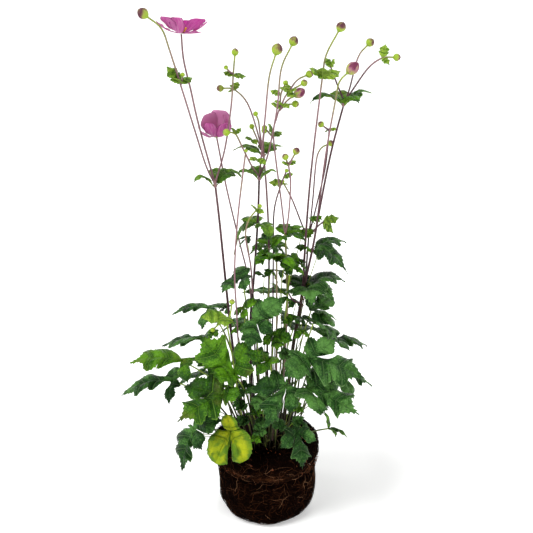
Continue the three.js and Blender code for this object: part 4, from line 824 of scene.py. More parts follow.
def ternate(piece, name, foot, tips, face, bow, look, outline=None, width=1.0, shade=0.5, across=ACROSS,
            rib=LEAF_RIB, fused=FUSED):
    """Three leaflets fused at their feet, each in its own sector round the node."""
    order, gaps = in_order(tips, foot, face)
    ribs = [Midrib(foot, tips[i], face, bow) for i in order]
    pairs = zip(ribs, ribs[1:], gaps)
    seams = [None, *(seam_between(one, other, gap, fused) for one, other, gap in pairs), None]
    reach = fused * min(midrib.length for midrib in ribs)
    for k, (i, midrib) in enumerate(zip(order, ribs)):
        shape, seed = outline or ("side" if i else "cut"), f"{name}{i}"
        mine, rooms = (seams[k + 1], seams[k]), (gaps[k], gaps[k - 1])
        feet = [
            leaflet_foot(shape, width, gap, None if seam is None else reach / midrib.length)
            for seam, gap in zip(mine, rooms)
        ]
        blade(
            piece, midrib, shape, look, seed, shade + random.Random(seed).uniform(-0.12, 0.12), width,
            feet=feet, rooms=rooms, seams=mine, across=across, rib=rib,
        )


def add_leaf(name, root, node, tips, look="deep", outline=None, lean=0.5, width=1.0, bow=0.16, fused=FUSED):
    piece = Piece()
    chance = random.Random(name)
    points = petiole_points(root, node)
    foot = node + unit(np.array(points[2]) - node) * SUNK
    path = smooth_curve([*points[:3], foot], 6 * MM)
    # Tone 0 at the soil gives the petiole its dark foot, partly painted shade under the leaves.
    tone = shares(path) + chance.uniform(-0.1, 0.1)
    tube(piece, path, between(*PETIOLE, shares(path)), "petiole", tone)
    face, shade = leaf_face(node, lean), chance.uniform(0.35, 0.65)
    ternate(piece, name, foot, tips, face, bow, look, outline, width, shade, fused=fused)
    piece.finish(f"{name}_fine", f"{look}_leaf", name)


def bud(piece, base, way, width, length, ripe, seed):
    """Overlapping sepals round a core, green at the base and darker towards the tip."""
    chance = random.Random(seed)
    look = "ripe_bud" if length > RIPE_LENGTH else "bud"
    way = unit(way)
    normal = unit(np.cross(way, (0.3, 1.0, 0.1)))
    other = np.cross(way, normal)
    t = np.linspace(0, 1, BUD_RINGS)
    outline = 0.5 * width * np.sin(math.pi * (0.1 + 0.9 * t)) ** 0.6
    outline[-1] = 0.0
    dark = np.clip((t - 0.72 + 0.7 * ripe) * 1.7, 0, 1) * min(1, 0.45 + ripe)

    def rings(turns, swell, thick=0.0):
        spokes = normal * np.cos(turns)[:, None] + other * np.sin(turns)[:, None]
        radii = (outline[:, None] * swell + thick)[..., None]
        return base + (way * (t * length)[:, None])[:, None] + radii * spokes

    core = rings(np.arange(CORE_SIDES) * 2 * math.pi / CORE_SIDES, 0.92)
    core[0] = base
    faces = grid_faces(BUD_RINGS, CORE_SIDES, ring=True)
    piece.add(core, faces, look, np.repeat(dark, CORE_SIDES))
    spread = np.linspace(-1, 1, SEPAL_COLUMNS)
    swell = 1.0 + 0.04 * spread - 0.03 * spread**2 - 0.06 * np.abs(spread) ** 6
    thick = SEPAL_THICKNESS * (1 - spread**4) * np.sin(math.pi * t)[:, None]
    start = chance.uniform(0, 2 * math.pi)
    for sepal in range(SEPALS):
        turns = start + (sepal + SEPAL_SPAN * spread) * 2 * math.pi / SEPALS
        middle = rings(turns, swell)
        tone = dark[:, None] * chance.uniform(0.6, 1.2) + 0.2 * (0.5 - np.abs(spread))
        tone = tone + chance.uniform(-0.1, 0.06)
        add_sheet(piece, middle, rings(turns, swell, thick) - middle, (look, look), tone)
    seat = [base - way * 0.1 * length, base + way * 0.05 * length]
    tube(piece, seat, [0.12 * width, 0.24 * width], "stalk", 0.95)


def add_stem(name, tones, slot, root, shoots, tufts):
    """The first shoot starts in the soil; the others start on it."""
    piece = Piece()
    foot_tone, end_tone, shoot_tone = tones
    for i, (points, (thick, thin), *buds) in enumerate(shoots):
        path = smooth_curve(points if i else [*rooted(root), *points], 5 * MM)
        share = shares(path)
        radii = np.maximum(between(thick, thin, share), FINEST_STALK)
        # The first shoot darkens towards its foot: partly its own purple, partly painted shade under the
        # leaves.
        if i == 0:
            tone = between(foot_tone, end_tone, share**1.5)
        else:
            tone = shoot_tone + (0.8 - shoot_tone) * share**3 * len(buds)
            radii = radii * (1 + 0.35 * np.exp(-share * len(path) / 1.5))
        bark = name == "stem_woody" and i == 0
        tube(piece, path, radii, "bark" if bark else "stalk", tone, 10 if thick > STOUT_STALK else 8)
        if i == 0 and len(shoots) > 1:
            swelling(piece, path[-3:], thin, end_tone)
        for width, length in buds:
            way = unit(path[-1] - path[-2])
            ripe = np.clip((width - DARK_FROM) / DARK_WITHIN, 0.05, 1)
            bud(piece, path[-1] - way * BUD_SEAT, way, width, length, ripe, f"{name}{i}")
    for k, (at, tips) in enumerate(tufts):
        for j, tip in enumerate(tips):
            blade(
                piece, Midrib(at, tip, TUFT_FACE, TUFT_BOW), "tuft", "lime", f"{name}{k}{j}", 0.5,
                TUFT_WIDTH, across=ACROSS_TUFT, rib=TUFT_RIB,
            )
    if name == "stem_woody":
        add_knots(piece)
    piece.finish(f"{name}_fine", slot, name)


def swelling(piece, path, radius, tone):
    """The thickened joint at the end of a stem, where its shoots part."""
    way = unit(path[-1] - path[0])
    steps = np.linspace(-1, 1, 7)
    points = path[-1] - way * 2 * MM + steps[:, None] * way * 4 * MM
    tube(piece, points, radius * (1.0 + 0.45 * np.cos(steps * math.pi / 2)), "stalk", tone + 0.1, 10)


def add_knots(piece):
    """Scars and bits of torn bark round the old joint of the woody stem."""
    chance = random.Random(3)
    for _ in range(KNOTS):
        turn, z = chance.uniform(0, 2 * math.pi), chance.uniform(*KNOTS_Z)
        out = outward(turn) + UP * chance.uniform(-0.8, 0.8)
        x, y, low = KNOTTY_FOOT
        start = np.array((x + (z - low) * KNOTTY_LEAN, y, z)) + out * 0.0016
        path = smooth_curve([start, start + out * 0.001, start + (out - 0.6 * UP) * 0.0022], 0.5 * MM)
        radii = chance.uniform(0.6, 1.2) * MM * np.linspace(1, 0.4, len(path))
        tube(piece, path, radii, "bark", chance.uniform(0.1, 0.9), 6)


def add_whorl(name, at, along, radius, tips, bow, look="olive", outline="bract"):
    """Leaves round a collar. The stem runs the way of along, and bow is how far a leaf arches."""
    piece = Piece()
    chance = random.Random(name)
    axis = unit(np.array(along))
    inner = (radius + COLLAR_CLEARANCE) / math.cos(math.pi / 6)
    middle = np.array(at) - axis * (COLLAR_HEIGHT / 2 + COLLAR_CLEARANCE)
    steps = np.linspace(-1, 1, 9)
    sleeve = radius + COLLAR_WALL + COLLAR_SWELL * np.cos(steps * math.pi / 2) ** 0.7
    tube(piece, middle + steps[:, None] * axis * COLLAR_HEIGHT * 0.75, sleeve, "stalk", 0.5, 12)
    for i, tip in enumerate(tips):
        out = np.array(tip) - middle
        out = unit(out - axis * out.dot(axis))
        midrib = Midrib(middle + out * inner, tip, UP + 0.3 * out, bow, WHORL_PEAK)
        shade, bare = chance.uniform(0.3, 0.7), WHORL_BARE / midrib.length
        blade(piece, midrib, outline, look, f"{name}{i}", shade, WHORL_WIDTH, bare, rib=WHORL_RIB)
    piece.finish(f"{name}_fine", "fresh_leaf" if look == "fresh" else "deep_leaf", name)


def add_petals(name, at, turn, petals):
    piece = Piece()
    steps = np.linspace(0, 1, 5)
    seat = at + turn @ (UP * SEAT_Z) + steps[:, None] * (turn @ (UP * SEAT_HEIGHT))
    tube(piece, seat, SEAT_RADIUS * np.sqrt(1.1 - steps**2), "stalk", 0.8, 14)
    for i, (angle, *sizes, shade, width) in enumerate(petals):
        reach, rise, belly, dip = metres(sizes)
        away = outward(math.radians(angle))
        spots = (PETAL_FOOT, (belly, dip), (reach, rise))
        start, top, stop = (at + turn @ (away * out + UP * z) for out, z in spots)
        midrib = Midrib(start, stop, turn @ (UP - 0.7 * away), top=top)
        blade(
            piece, midrib, "petal", "petal", f"{name}{i}", shade, width, across=ACROSS_PETAL, arch=0.0,
            quilt=0.0, ruffle=0.022,
        )
    piece.finish(f"petals_{name}_fine", "petal", f"petals_{name}")


def add_stamens(name, at, turn):
    """A crowd of thin filaments, each with its anther, round the carpels."""
    piece = Piece()
    chance = random.Random(name)
    for i in range(STAMENS):
        angle = i * GOLDEN_TURN + chance.uniform(-0.1, 0.1)
        away = outward(angle)
        foot, high = chance.uniform(*STAMEN_FOOT), chance.uniform(*STAMEN_HEIGHT)
        wide = foot + chance.uniform(*STAMEN_SPREAD)
        spots = [(foot, STAMEN_Z), (foot + STAMEN_LEAN, high * 0.6), (wide, high)]
        path = smooth_curve([at + turn @ (away * out + UP * z) for out, z in spots], 2 * MM)
        tube(piece, path, FILAMENT_RADIUS, "stamen", 0.2, 4)
        way = unit(path[-1] - path[-2])
        pod(piece, path[-1], way, ANTHER, "stamen", chance.uniform(0.6, 1), sides=6, rings=5, blunt=0.05)
    piece.finish(f"stamens_{name}_fine", "stamen", f"stamens_{name}")


def add_carpels(name, at, turn):
    """A green dome covered in small round carpels."""
    piece = Piece()
    middle = at + turn @ (UP * DOME_MIDDLE)
    pod(piece, middle, turn @ UP, DOME, "carpel", 0.0, sides=14, rings=9, blunt=0.02)
    for i in range(CARPELS):
        z = 1 - 1.25 * (i + 0.5) / CARPELS
        way = turn @ (outward(i * GOLDEN_TURN) * math.sqrt(1 - z * z) + UP * z)
        pod(piece, middle + way * DOME[1], way, CARPEL, "carpel", 0.5, sides=5, rings=4, blunt=0.1)
    piece.finish(f"carpels_{name}_fine", "carpel", f"carpels_{name}")


def add_bloom(name, at, facing, petals):
    """An open flower: its own upright axis is turned to the way it faces."""
    turn = np.array(Vector(UP).rotation_difference(Vector(facing).normalized()).to_matrix())
    add_petals(name, at, turn, petals)
    add_stamens(name, at, turn)
    add_carpels(name, at, turn)


def lump(turn, z):
    """The low bulges of the root ball's side."""
    return LUMP * (math.sin(3 * turn + z / 0.02) + 0.6 * math.sin(7 * turn - z / 0.009))


def fold(turn, z):
    """1 in the middle of the fold under the collar, which wanders up and down a little."""
    middle = FOLD_Z + 0.0025 * math.sin(2 * turn + 1.0) + 0.001 * math.sin(5 * turn)
    return math.exp(-(((z - middle) / FOLD_HEIGHT) ** 2))


class Side:
    """The root ball's outline, by the share of its length from the underside's middle to the soil's."""

    def __init__(self):
        line = smooth_curve([(r, 0.0, z) for r, z in BALL_PROFILE], 1 * MM)[:, (0, 2)]
        self.line = np.maximum(line, 0)
        steps = np.linalg.norm(np.diff(self.line, axis=0), axis=1)
        self.along = np.concatenate(([0.0], np.cumsum(steps)))
        self.length = self.along[-1]
        ways = np.gradient(self.line, axis=0)
        self.out = np.stack((ways[:, 1], -ways[:, 0]), axis=1)
        self.out /= np.maximum(np.linalg.norm(self.out, axis=1), 1e-9)[:, None]

    def place(self, share, turn, above=0.0):
        """A point on the side, or above it by a height. The fold under the collar dips in."""
        at = min(max(share, 0.0), 1.0) * self.length
        r, z = (np.interp(at, self.along, self.line[:, k]) for k in (0, 1))
        out_r, out_z = (np.interp(at, self.along, self.out[:, k]) for k in (0, 1))
        if r > LUMPY_FROM:
            r += lump(turn, z) - FOLD_DEPTH * fold(turn, z)
        r, z = r + out_r * above, max(z + out_z * above, 0.0)
        return r * math.cos(turn), r * math.sin(turn), z


def matted(x, y, z):
    """Height of the compost's surface at a point: clods, and finer strands on them."""
    at = Vector((x, y, z))
    clods = noise.fractal(at * CLOD_SCALE, 0.6, 2.0, 3)
    drawn = at * STRAND_SCALE + Vector((0, 0, STRAND_DRAWN * z))
    strands = noise.turbulence(drawn, 3, False, noise_basis="PERLIN_ORIGINAL")
    return CLOD_HEIGHT * clods + STRAND_HEIGHT * strands - MAT_SUNK


def tone_with_painted_shade(share, turn, z):
    """The compost's tone: brown in patches above the fold and darker at the top, with painted shade
    in the fold under the collar and low down towards the floor.
    """
    band = math.exp(-(((z - FOLD_Z - 0.009) / 0.006) ** 2))
    top = min(1.0, max(0.0, (share - 0.62) / 0.06))
    low = max(0.0, 1 - z / 0.06)
    patches = 0.5 + 0.5 * math.sin(2 * turn + 0.6) * math.sin(5 * turn)
    # The fold and low terms are painted shade, under the collar's overhang and towards the ball's foot.
    return 0.36 + 0.6 * band * patches - 0.9 * fold(turn, z) - 0.7 * top - 0.75 * low


def add_root_ball(side):
    piece = Piece()
    points, tones = [], []
    for share in np.linspace(0.0, 1.0, BALL_ROWS):
        for turn in np.arange(BALL_COLUMNS) * 2 * math.pi / BALL_COLUMNS:
            x, y, z = side.place(share, turn)
            rough = matted(x, y, z) * min(1.0, z / 0.004)
            points.append(side.place(share, turn, rough))
            # Each point's tone carries the painted shade in the fold and low down.
            tones.append(tone_with_painted_shade(share, turn, z))
    piece.add(points, grid_faces(BALL_ROWS, BALL_COLUMNS, ring=True), "compost", tones)
    piece.finish("root_ball_compost", "root_mat", "root_ball")


def add_fibres(side):
    """Fine roots that run round the ball, dip into it and come out again."""
    chance = random.Random(11)
    for part, band in FIBRE_BANDS.items():
        piece = Piece()
        for _ in range(FIBRES):
            share, turn = chance.uniform(*band), chance.uniform(0, 2 * math.pi)
            heading = chance.gauss(0, 0.9)
            backward = chance.choice((-1, 1))
            steps = chance.randint(5, 12)
            thick = chance.choice(FIBRE_RADII)
            lift, wave = chance.uniform(0.0, 0.7) * MM, chance.uniform(0, 2 * math.pi)
            path = []
            for step in range(steps):
                above = lift + 0.6 * MM * math.sin(wave + step * 0.7)
                x, y, z = side.place(share, turn, above)
                path.append((x, y, max(z, 0.4 * MM)))
                radius = max(math.hypot(x, y), 0.02)
                heading += chance.gauss(0, 0.42)
                turn += backward * FIBRE_STEP * math.cos(heading) / radius
                share += FIBRE_STEP * math.sin(heading) / side.length
                share = min(max(share, FIBRE_REACH[0]), FIBRE_REACH[1])
            radii = thick * np.sin(np.linspace(0.35, math.pi - 0.35, steps)) ** 0.5
            # Fibres take the ball's tone there too, with its painted shade in the fold and low down.
            tone = 0.95 * chance.random() ** 1.9 + 0.7 * (tone_with_painted_shade(share, turn, path[0][2]) - 0.36)
            if chance.random() < 0.01 and share < 0.6:
                tone, radii = 0.95, radii * 1.5
            tube(piece, path, radii, "fibre", tone, 3)
        piece.finish(f"root_fibres_{part}", "root_mat")


def add_crumbs(side):
    """Bits of bark and compost, with a few pale grains, held by the roots."""
    piece = Piece()
    chance = random.Random(5)
    for _ in range(CRUMBS):
        share, turn = chance.uniform(0.36, 1.0), chance.uniform(0, 2 * math.pi)
        middle = np.array(side.place(share, turn, chance.uniform(-0.4, 0.5) * MM))
        long, wide = chance.uniform(0.8, 2.4) * MM, chance.uniform(0.4, 1.1) * MM
        way = unit(np.array([chance.gauss(0, 1) for _ in range(3)]))
        path = middle + CRUMB_RINGS[:, None] * way * long
        kind = chance.random()
        pale = kind < 0.02
        radii = wide * np.array([chance.uniform(0.5, 1.0) for _ in CRUMB_RINGS]) * (0.45 if pale else 1)
        reddish = 0.72 if kind > 0.75 and 0.55 < share < 0.82 else 0.5 * kind**2
        tube(piece, path, radii, "crumb", 1.0 if pale else reddish, 5)
    piece.finish("compost_crumbs", "root_mat")


def add_crown():
    """Short stubs of old leaf stalks and fine shoots where the stems leave the soil."""
    piece = Piece()
    chance = random.Random(8)
    for _ in range(STUBS):
        turn, away = chance.uniform(0, 2 * math.pi), chance.uniform(0.008, 0.052)
        foot = outward(turn) * away + UP * (SOIL_Z - 2 * MM)
        lean = outward(turn) * chance.uniform(0.1, 0.9)
        tall = chance.uniform(6, 22) * MM
        bend = np.array([chance.gauss(0, 0.25), chance.gauss(0, 0.25), 0.0])
        spots = [foot, foot + (UP + lean) * tall * 0.5, foot + (UP + 1.6 * lean + bend) * tall]
        path = smooth_curve(spots, 2 * MM)
        radii = chance.uniform(0.5, 1.1) * MM * np.linspace(1, 0.6, len(path))
        tube(piece, path, radii, "stub", chance.random(), 6)
    piece.finish("crown_stubs", "root_mat")


def add_small_leaf(number, root, node, tip, look):
    """A little leaf, too small to be a solid of its own, that grows from the soil or a stem."""
    piece = Piece()
    if len(root) == 2:
        # Rooted in the soil, the stalk starts at tone 0, its dark foot partly painted shade.
        path, foot_tone = smooth_curve(petiole_points(root, node), 7 * MM), 0.0
    else:
        middle = (np.array(root) + node) / 2 + 0.002 * UP
        path, foot_tone = smooth_curve([root, middle, node], 3 * MM), 0.6
    share = shares(path)
    tube(piece, path, (0.8 - 0.3 * share) * MM, "petiole", between(foot_tone, 1, share), 6)
    node = np.array(node)
    way = np.array(tip) - node
    aside = unit(np.cross(way, UP)) * np.linalg.norm(way) * 0.7
    tips = [tip, node + way * 0.35 + aside, node + way * 0.35 - aside]
    name, face = f"small{number - 1}", leaf_face(node, 1.0)
    ternate(piece, name, node, tips, face, 0.16, look, across=ACROSS_SMALL, rib=SMALL_RIB)
    piece.finish(f"small_leaf_{number}", f"{look}_leaf")


class Look:
    """A material and short ways to add nodes to it."""

    def __init__(self, name):
        self.material = bpy.data.materials.new(name)
        self.material.use_nodes = True
        self.nodes = self.material.node_tree.nodes
        self.shader = self.nodes["Principled BSDF"]
        self.place = self.node("TexCoord", "Object")

    def put(self, socket, value):
        if hasattr(value, "is_output"):
            self.material.node_tree.links.new(value, socket)
        else:
            socket.default_value = value

    def node(self, kind, output, inputs=(), **settings):
        """One output of a new node. inputs are pairs of a socket's name or number and its value."""
        node = self.nodes.new(f"ShaderNode{kind}")
        for name, value in settings.items():
            setattr(node, name, value)
        for socket, value in inputs:
            self.put(node.inputs[socket], value)
        return node.outputs[output]

    def set(self, **values):
        """Sets the shader's sockets by name, with _ for a space."""
        for name, value in values.items():
            self.put(self.shader.inputs[name.replace("_", " ")], value)

    def noise(self, scale, detail=3.0, vector=None, stretch=(1, 1, 1)):
        vector = vector or self.place
        place = self.node("VectorMath", "Vector", [(0, vector), (1, stretch)], operation="MULTIPLY")
        return self.node("TexNoise", "Fac", [("Vector", place), ("Scale", scale), ("Detail", detail)])

    def cells(self, scale):
        """0 on the lines of a fine irregular net, rising to the middles of its cells."""
        inputs = [("Vector", self.place), ("Scale", scale)]
        return self.node("TexVoronoi", "Distance", inputs, feature="DISTANCE_TO_EDGE")

    def math(self, operation, a, b=0.0):
        return self.node("Math", 0, [(0, a), (1, b)], operation=operation)

    def add(self, *parts):
        """The sum of (value, weight) pairs, each value counted from its middle, 0.5, plus 0.5."""
        total = 0.5
        for value, weight in parts:
            share = self.math("MULTIPLY", self.math("SUBTRACT", value, 0.5), weight)
            total = self.math("ADD", share, total)
        return total

    def span(self, value, low, high, start=0.0, stop=1.0):
        """value, taken smoothly from low..high to start..stop."""
        inputs = enumerate((value, low, high, start, stop))
        return self.node("MapRange", 0, inputs, interpolation_type="SMOOTHSTEP")

    def mix(self, share, a, b, strength=1.0):
        """Two colours, each a socket or three numbers."""
        share = share if strength == 1 else self.math("MULTIPLY", share, strength)
        a, b = (colour if hasattr(colour, "is_output") else (*colour, 1) for colour in (a, b))
        return self.node("Mix", 2, [(0, share), (6, a), (7, b)], data_type="RGBA")

    def ramp(self, value, *stops):
        """A colour for each value, between stops of (value, colour)."""
        node = self.nodes.new("ShaderNodeValToRGB")
        while len(node.color_ramp.elements) < len(stops):
            node.color_ramp.elements.new(0.5)
        for element, (at, colour) in zip(node.color_ramp.elements, stops):
            element.position, element.color = at, (*colour, 1)
        self.put(node.inputs["Fac"], value)
        return node.outputs["Color"]

    def tone(self):
        return self.node("Attribute", "Fac", attribute_name="tone")

    def pattern(self):
        """The blade's own coordinates: number of the vein, then distance from the midrib, to 0.5."""
        uv = self.node("UVMap", "UV", uv_map="pattern")
        vein, across = (self.node("SeparateXYZ", axis, [(0, uv)]) for axis in "XY")
        return uv, vein, self.math("ABSOLUTE", self.math("SUBTRACT", across, 0.5))

    def bump(self, height, distance, strength):
        inputs = [("Strength", strength), ("Distance", distance), ("Height", height)]
        normal = self.node("Bump", "Normal", inputs)
        self.set(Normal=normal)
        return normal

    def let_light_through(self, share, colour, normal):
        """Mixes in light that comes through from behind, as in a thin leaf."""
        through = self.node("BsdfTranslucent", 0, [("Color", colour), ("Normal", normal)])
        both = self.node("MixShader", 0, [(0, share), (1, self.shader.outputs[0]), (2, through)])
        self.put(self.nodes["Material Output"].inputs["Surface"], both)


def veins(look):
    """Lines of the large veins, lines of every vein, the leaf's rim, and the way it puffs up
    between its veins, which also serves as painted shade in the creases and painted light on the bulges."""
    _, vein, away = look.pattern()

    def apart(count):
        """0 on veins, count of them from lobe to lobe, and 0.5 between them."""
        cycle = look.math("FRACT", look.math("ADD", look.math("MULTIPLY", vein, count), 0.5))
        return look.math("ABSOLUTE", look.math("SUBTRACT", cycle, 0.5))

    midrib = look.span(away, 0.0, 0.014, 1.0, 0.0)
    large = look.math("MAXIMUM", midrib, look.span(apart(1.0), 0.0, 0.04, 1.0, 0.0))
    small = look.math("MULTIPLY", look.span(apart(5.0), 0.0, 0.12, 1.0, 0.0), 0.2)
    puffs = look.span(look.cells(300), 0.0, 0.3)
    ridges = look.span(apart(5.0), 0.0, 0.4)
    broad = look.span(apart(1.0), 0.0, 0.3)
    puff_and_painted_shade = look.add((puffs, 0.22), (ridges, 0.07), (broad, 0.4))
    return large, look.math("MAXIMUM", large, small), look.span(away, 0.465, 0.5), puff_and_painted_shade


def finish_top(look, colour, puff_and_painted_shade, every, through, depth):
    """The relief of a leaf's upper side, and the light that comes through it."""
    look.set(Base_Color=colour)
    height = look.add((look.noise(520, 3), 0.3), (puff_and_painted_shade, 1.0), (every, -0.6))
    look.let_light_through(through, colour, look.bump(height, depth, 0.9))
    return look.material


def leaf_top(name, dark, light, vein, edge, tinge=None):
    look = Look(name)
    large, every, rim, puff_and_painted_shade = veins(look)
    # The first term paints shade in the creases along the veins and light on the bulges between them, and
    # the darkest stop deepens that painted shade; the noises and tone vary the green at random.
    shades = look.add((puff_and_painted_shade, 0.6), (look.noise(30, 4), 1.1), (look.tone(), 0.6), (look.noise(260, 2), 0.3))
    colour = look.ramp(shades, (0.2, [0.45 * c for c in dark]), (0.46, dark), (0.78, light))
    if tinge:
        colour = look.mix(look.span(look.noise(26, 3), 0.56, 0.7), colour, tinge, 0.6)
    colour = look.mix(large, colour, vein, 0.45)
    colour = look.mix(rim, colour, edge, 0.6)
    look.set(Roughness=look.span(look.noise(120), 0.3, 0.7, 0.35, 0.5), Specular_IOR_Level=0.16)
    return finish_top(look, colour, puff_and_painted_shade, every, 0.14, 0.0022)


def leaf_under(name, colour, vein):
    look = Look(name)
    large, every, _, puff_and_painted_shade = veins(look)
    # Painted shade: darker in the hollows under the bulges of the upper side.
    shades = look.add((puff_and_painted_shade, -0.4), (look.noise(55, 3), 0.8))
    shade = look.ramp(shades, (0.3, [0.6 * c for c in colour]), (0.7, colour))
    shade = look.mix(every, shade, vein, 0.35)
    shade = look.mix(large, shade, vein, 0.5)
    look.set(Base_Color=shade, Roughness=0.66, Specular_IOR_Level=0.12)
    height = look.add((look.noise(500, 2), 0.3), (puff_and_painted_shade, -1.0), (every, 0.6))
    look.let_light_through(0.2, shade, look.bump(height, 0.0018, 0.9))
    return look.material


def aged_top(name):
    """Turned yellow between the veins, still green round the node, along the edge and in patches."""
    look = Look(name)
    _, every, rim, puff_and_painted_shade = veins(look)
    _, vein, away = look.pattern()
    edge = look.span(look.add((away, 1.0), (look.noise(60, 3), 0.4)), 0.3, 0.47)
    node = look.span(look.add((vein, 1.0), (look.noise(45, 3), 1.4)), 0.3, 1.1, 1.0, 0.0)
    green = look.math("MAXIMUM", edge, node)
    for part in (look.span(look.noise(40, 3), 0.5, 0.62), look.math("MULTIPLY", every, 0.8)):
        green = look.math("MAXIMUM", green, part)
    yellow = look.ramp(look.noise(60, 3), (0.35, (0.27, 0.36, 0.005)), (0.65, (0.46, 0.5, 0.01)))
    leaf = look.ramp(look.noise(90, 3), (0.35, (0.04, 0.12, 0.008)), (0.65, (0.12, 0.26, 0.012)))
    colour = look.mix(green, yellow, leaf, 0.92)
    colour = look.mix(rim, colour, (0.08, 0.2, 0.03), 0.5)
    # Painted shade: darker olive in the creases along the veins.
    colour = look.mix(look.span(puff_and_painted_shade, 0.2, 0.6, 1.0, 0.0), colour, (0.12, 0.2, 0.01), 0.3)
    look.set(Roughness=0.5, Specular_IOR_Level=0.15)
    return finish_top(look, colour, puff_and_painted_shade, every, 0.2, 0.0016)


def petal(name, plain, painted_light_and_shade, streak, rim_colour, streaks_strength):
    """Silky, with fine streaks that run to the edge; plain at tone 0, and at tone 1 the colours with
    painted light and shade.
    """
    look = Look(name)
    uv, along, away = look.pattern()
    streaks = look.noise(1.0, 3, vector=uv, stretch=(0.9, 32, 1))
    broad = look.noise(1.0, 2, vector=uv, stretch=(0.6, 14, 1))
    base, tip = (look.mix(look.tone(), *pair) for pair in zip(plain, painted_light_and_shade))
    colour = look.mix(look.span(along, 0.0, 0.9), base, tip)
    colour = look.mix(look.span(streaks, 0.44, 0.66), colour, streak, streaks_strength)
    colour = look.mix(look.span(broad, 0.5, 0.7), colour, tip, 0.4)
    colour = look.mix(look.span(away, 0.4, 0.5), colour, rim_colour, 0.65)
    look.set(Base_Color=colour, Roughness=0.5, Specular_IOR_Level=0.15)
    look.let_light_through(0.45, colour, look.bump(look.add((streaks, 0.7), (broad, 0.6)), 0.0005, 0.6))
    return look.material


def toned(name, stops, roughness, grain, depth, stretch=(1, 1, 0.25), weave=0.12, gloss=0.18):
    """A colour by the piece's tone, broken up by a fine grain."""
    look = Look(name)
    rough = look.noise(grain, 4, stretch=stretch)
    grains = look.math("MULTIPLY", look.math("SUBTRACT", rough, 0.5), 2 * weave)
    colour = look.ramp(look.math("ADD", look.tone(), grains), *stops)
    look.set(Base_Color=colour, Specular_IOR_Level=gloss)
    look.set(Roughness=look.span(rough, 0.3, 0.7, roughness - 0.08, roughness + 0.08))
    look.bump(rough, depth, 0.7)
    return look.material


def compost():
    look = Look("compost")
    strands = look.noise(170, 4, stretch=(1, 1, 3.2))
    broad, fine = look.noise(75, 4), look.noise(700, 2)
    # The tone brings in the painted shade in the fold and low down.
    value = look.add((broad, 0.75), (strands, 0.85), (look.tone(), 0.62), (fine, 0.4))
    look.set(Base_Color=look.ramp(value, *COMPOST_COLOURS), Roughness=0.95, Specular_IOR_Level=0.01)
    look.bump(look.add((look.noise(560, 4), 1.0), (strands, 1.0)), 0.0016, 0.9)
    return look.material


LIME, PURPLE = (0.32, 0.45, 0.05), (0.1, 0.03, 0.045)

# Upper side of a leaf: dark, light, vein and rim. Lower side: its colour and its veins.
LEAF_COLOURS = {
    "deep": [
        (0.011, 0.056, 0.006), (0.095, 0.245, 0.046), (0.16, 0.31, 0.095), (0.2, 0.35, 0.12),
        (0.07, 0.17, 0.036), (0.17, 0.3, 0.09),
    ],
    "fresh": [
        (0.02, 0.085, 0.002), (0.115, 0.3, 0.009), (0.2, 0.41, 0.04), (0.2, 0.38, 0.04),
        (0.12, 0.28, 0.015), (0.25, 0.42, 0.05),
    ],
    "olive": [
        (0.045, 0.13, 0.008), (0.18, 0.34, 0.03), (0.25, 0.4, 0.07), (0.25, 0.4, 0.07),
        (0.17, 0.31, 0.045), (0.26, 0.4, 0.1),
    ],
    "lime": [
        (0.12, 0.26, 0.015), (0.36, 0.54, 0.06), (0.34, 0.5, 0.1), (0.36, 0.5, 0.12),
        (0.26, 0.42, 0.05), (0.34, 0.48, 0.1),
    ],
}
TINGES = {"fresh": (0.12, 0.15, 0.015)}
AGED_UNDER = [(0.42, 0.46, 0.05), (0.4, 0.5, 0.1)]

# A petal's side: plain, and with painted light and shade, darker outside and paler inside, each
# at the base and at the tip, then streaks, rim and how strong the streaks are.
PETAL_COLOURS = {
    "petal_top": [
        ((0.46, 0.05, 0.3), (0.52, 0.03, 0.33)), ((0.66, 0.24, 0.5), (0.84, 0.42, 0.68)),
        (0.76, 0.36, 0.62), (0.5, 0.06, 0.34), 0.5,
    ],
    "petal_under": [
        ((0.68, 0.3, 0.54), (0.66, 0.15, 0.46)), ((0.42, 0.06, 0.26), (0.42, 0.025, 0.25)),
        (0.78, 0.5, 0.68), (0.2, 0.012, 0.1), 0.65,
    ],
}

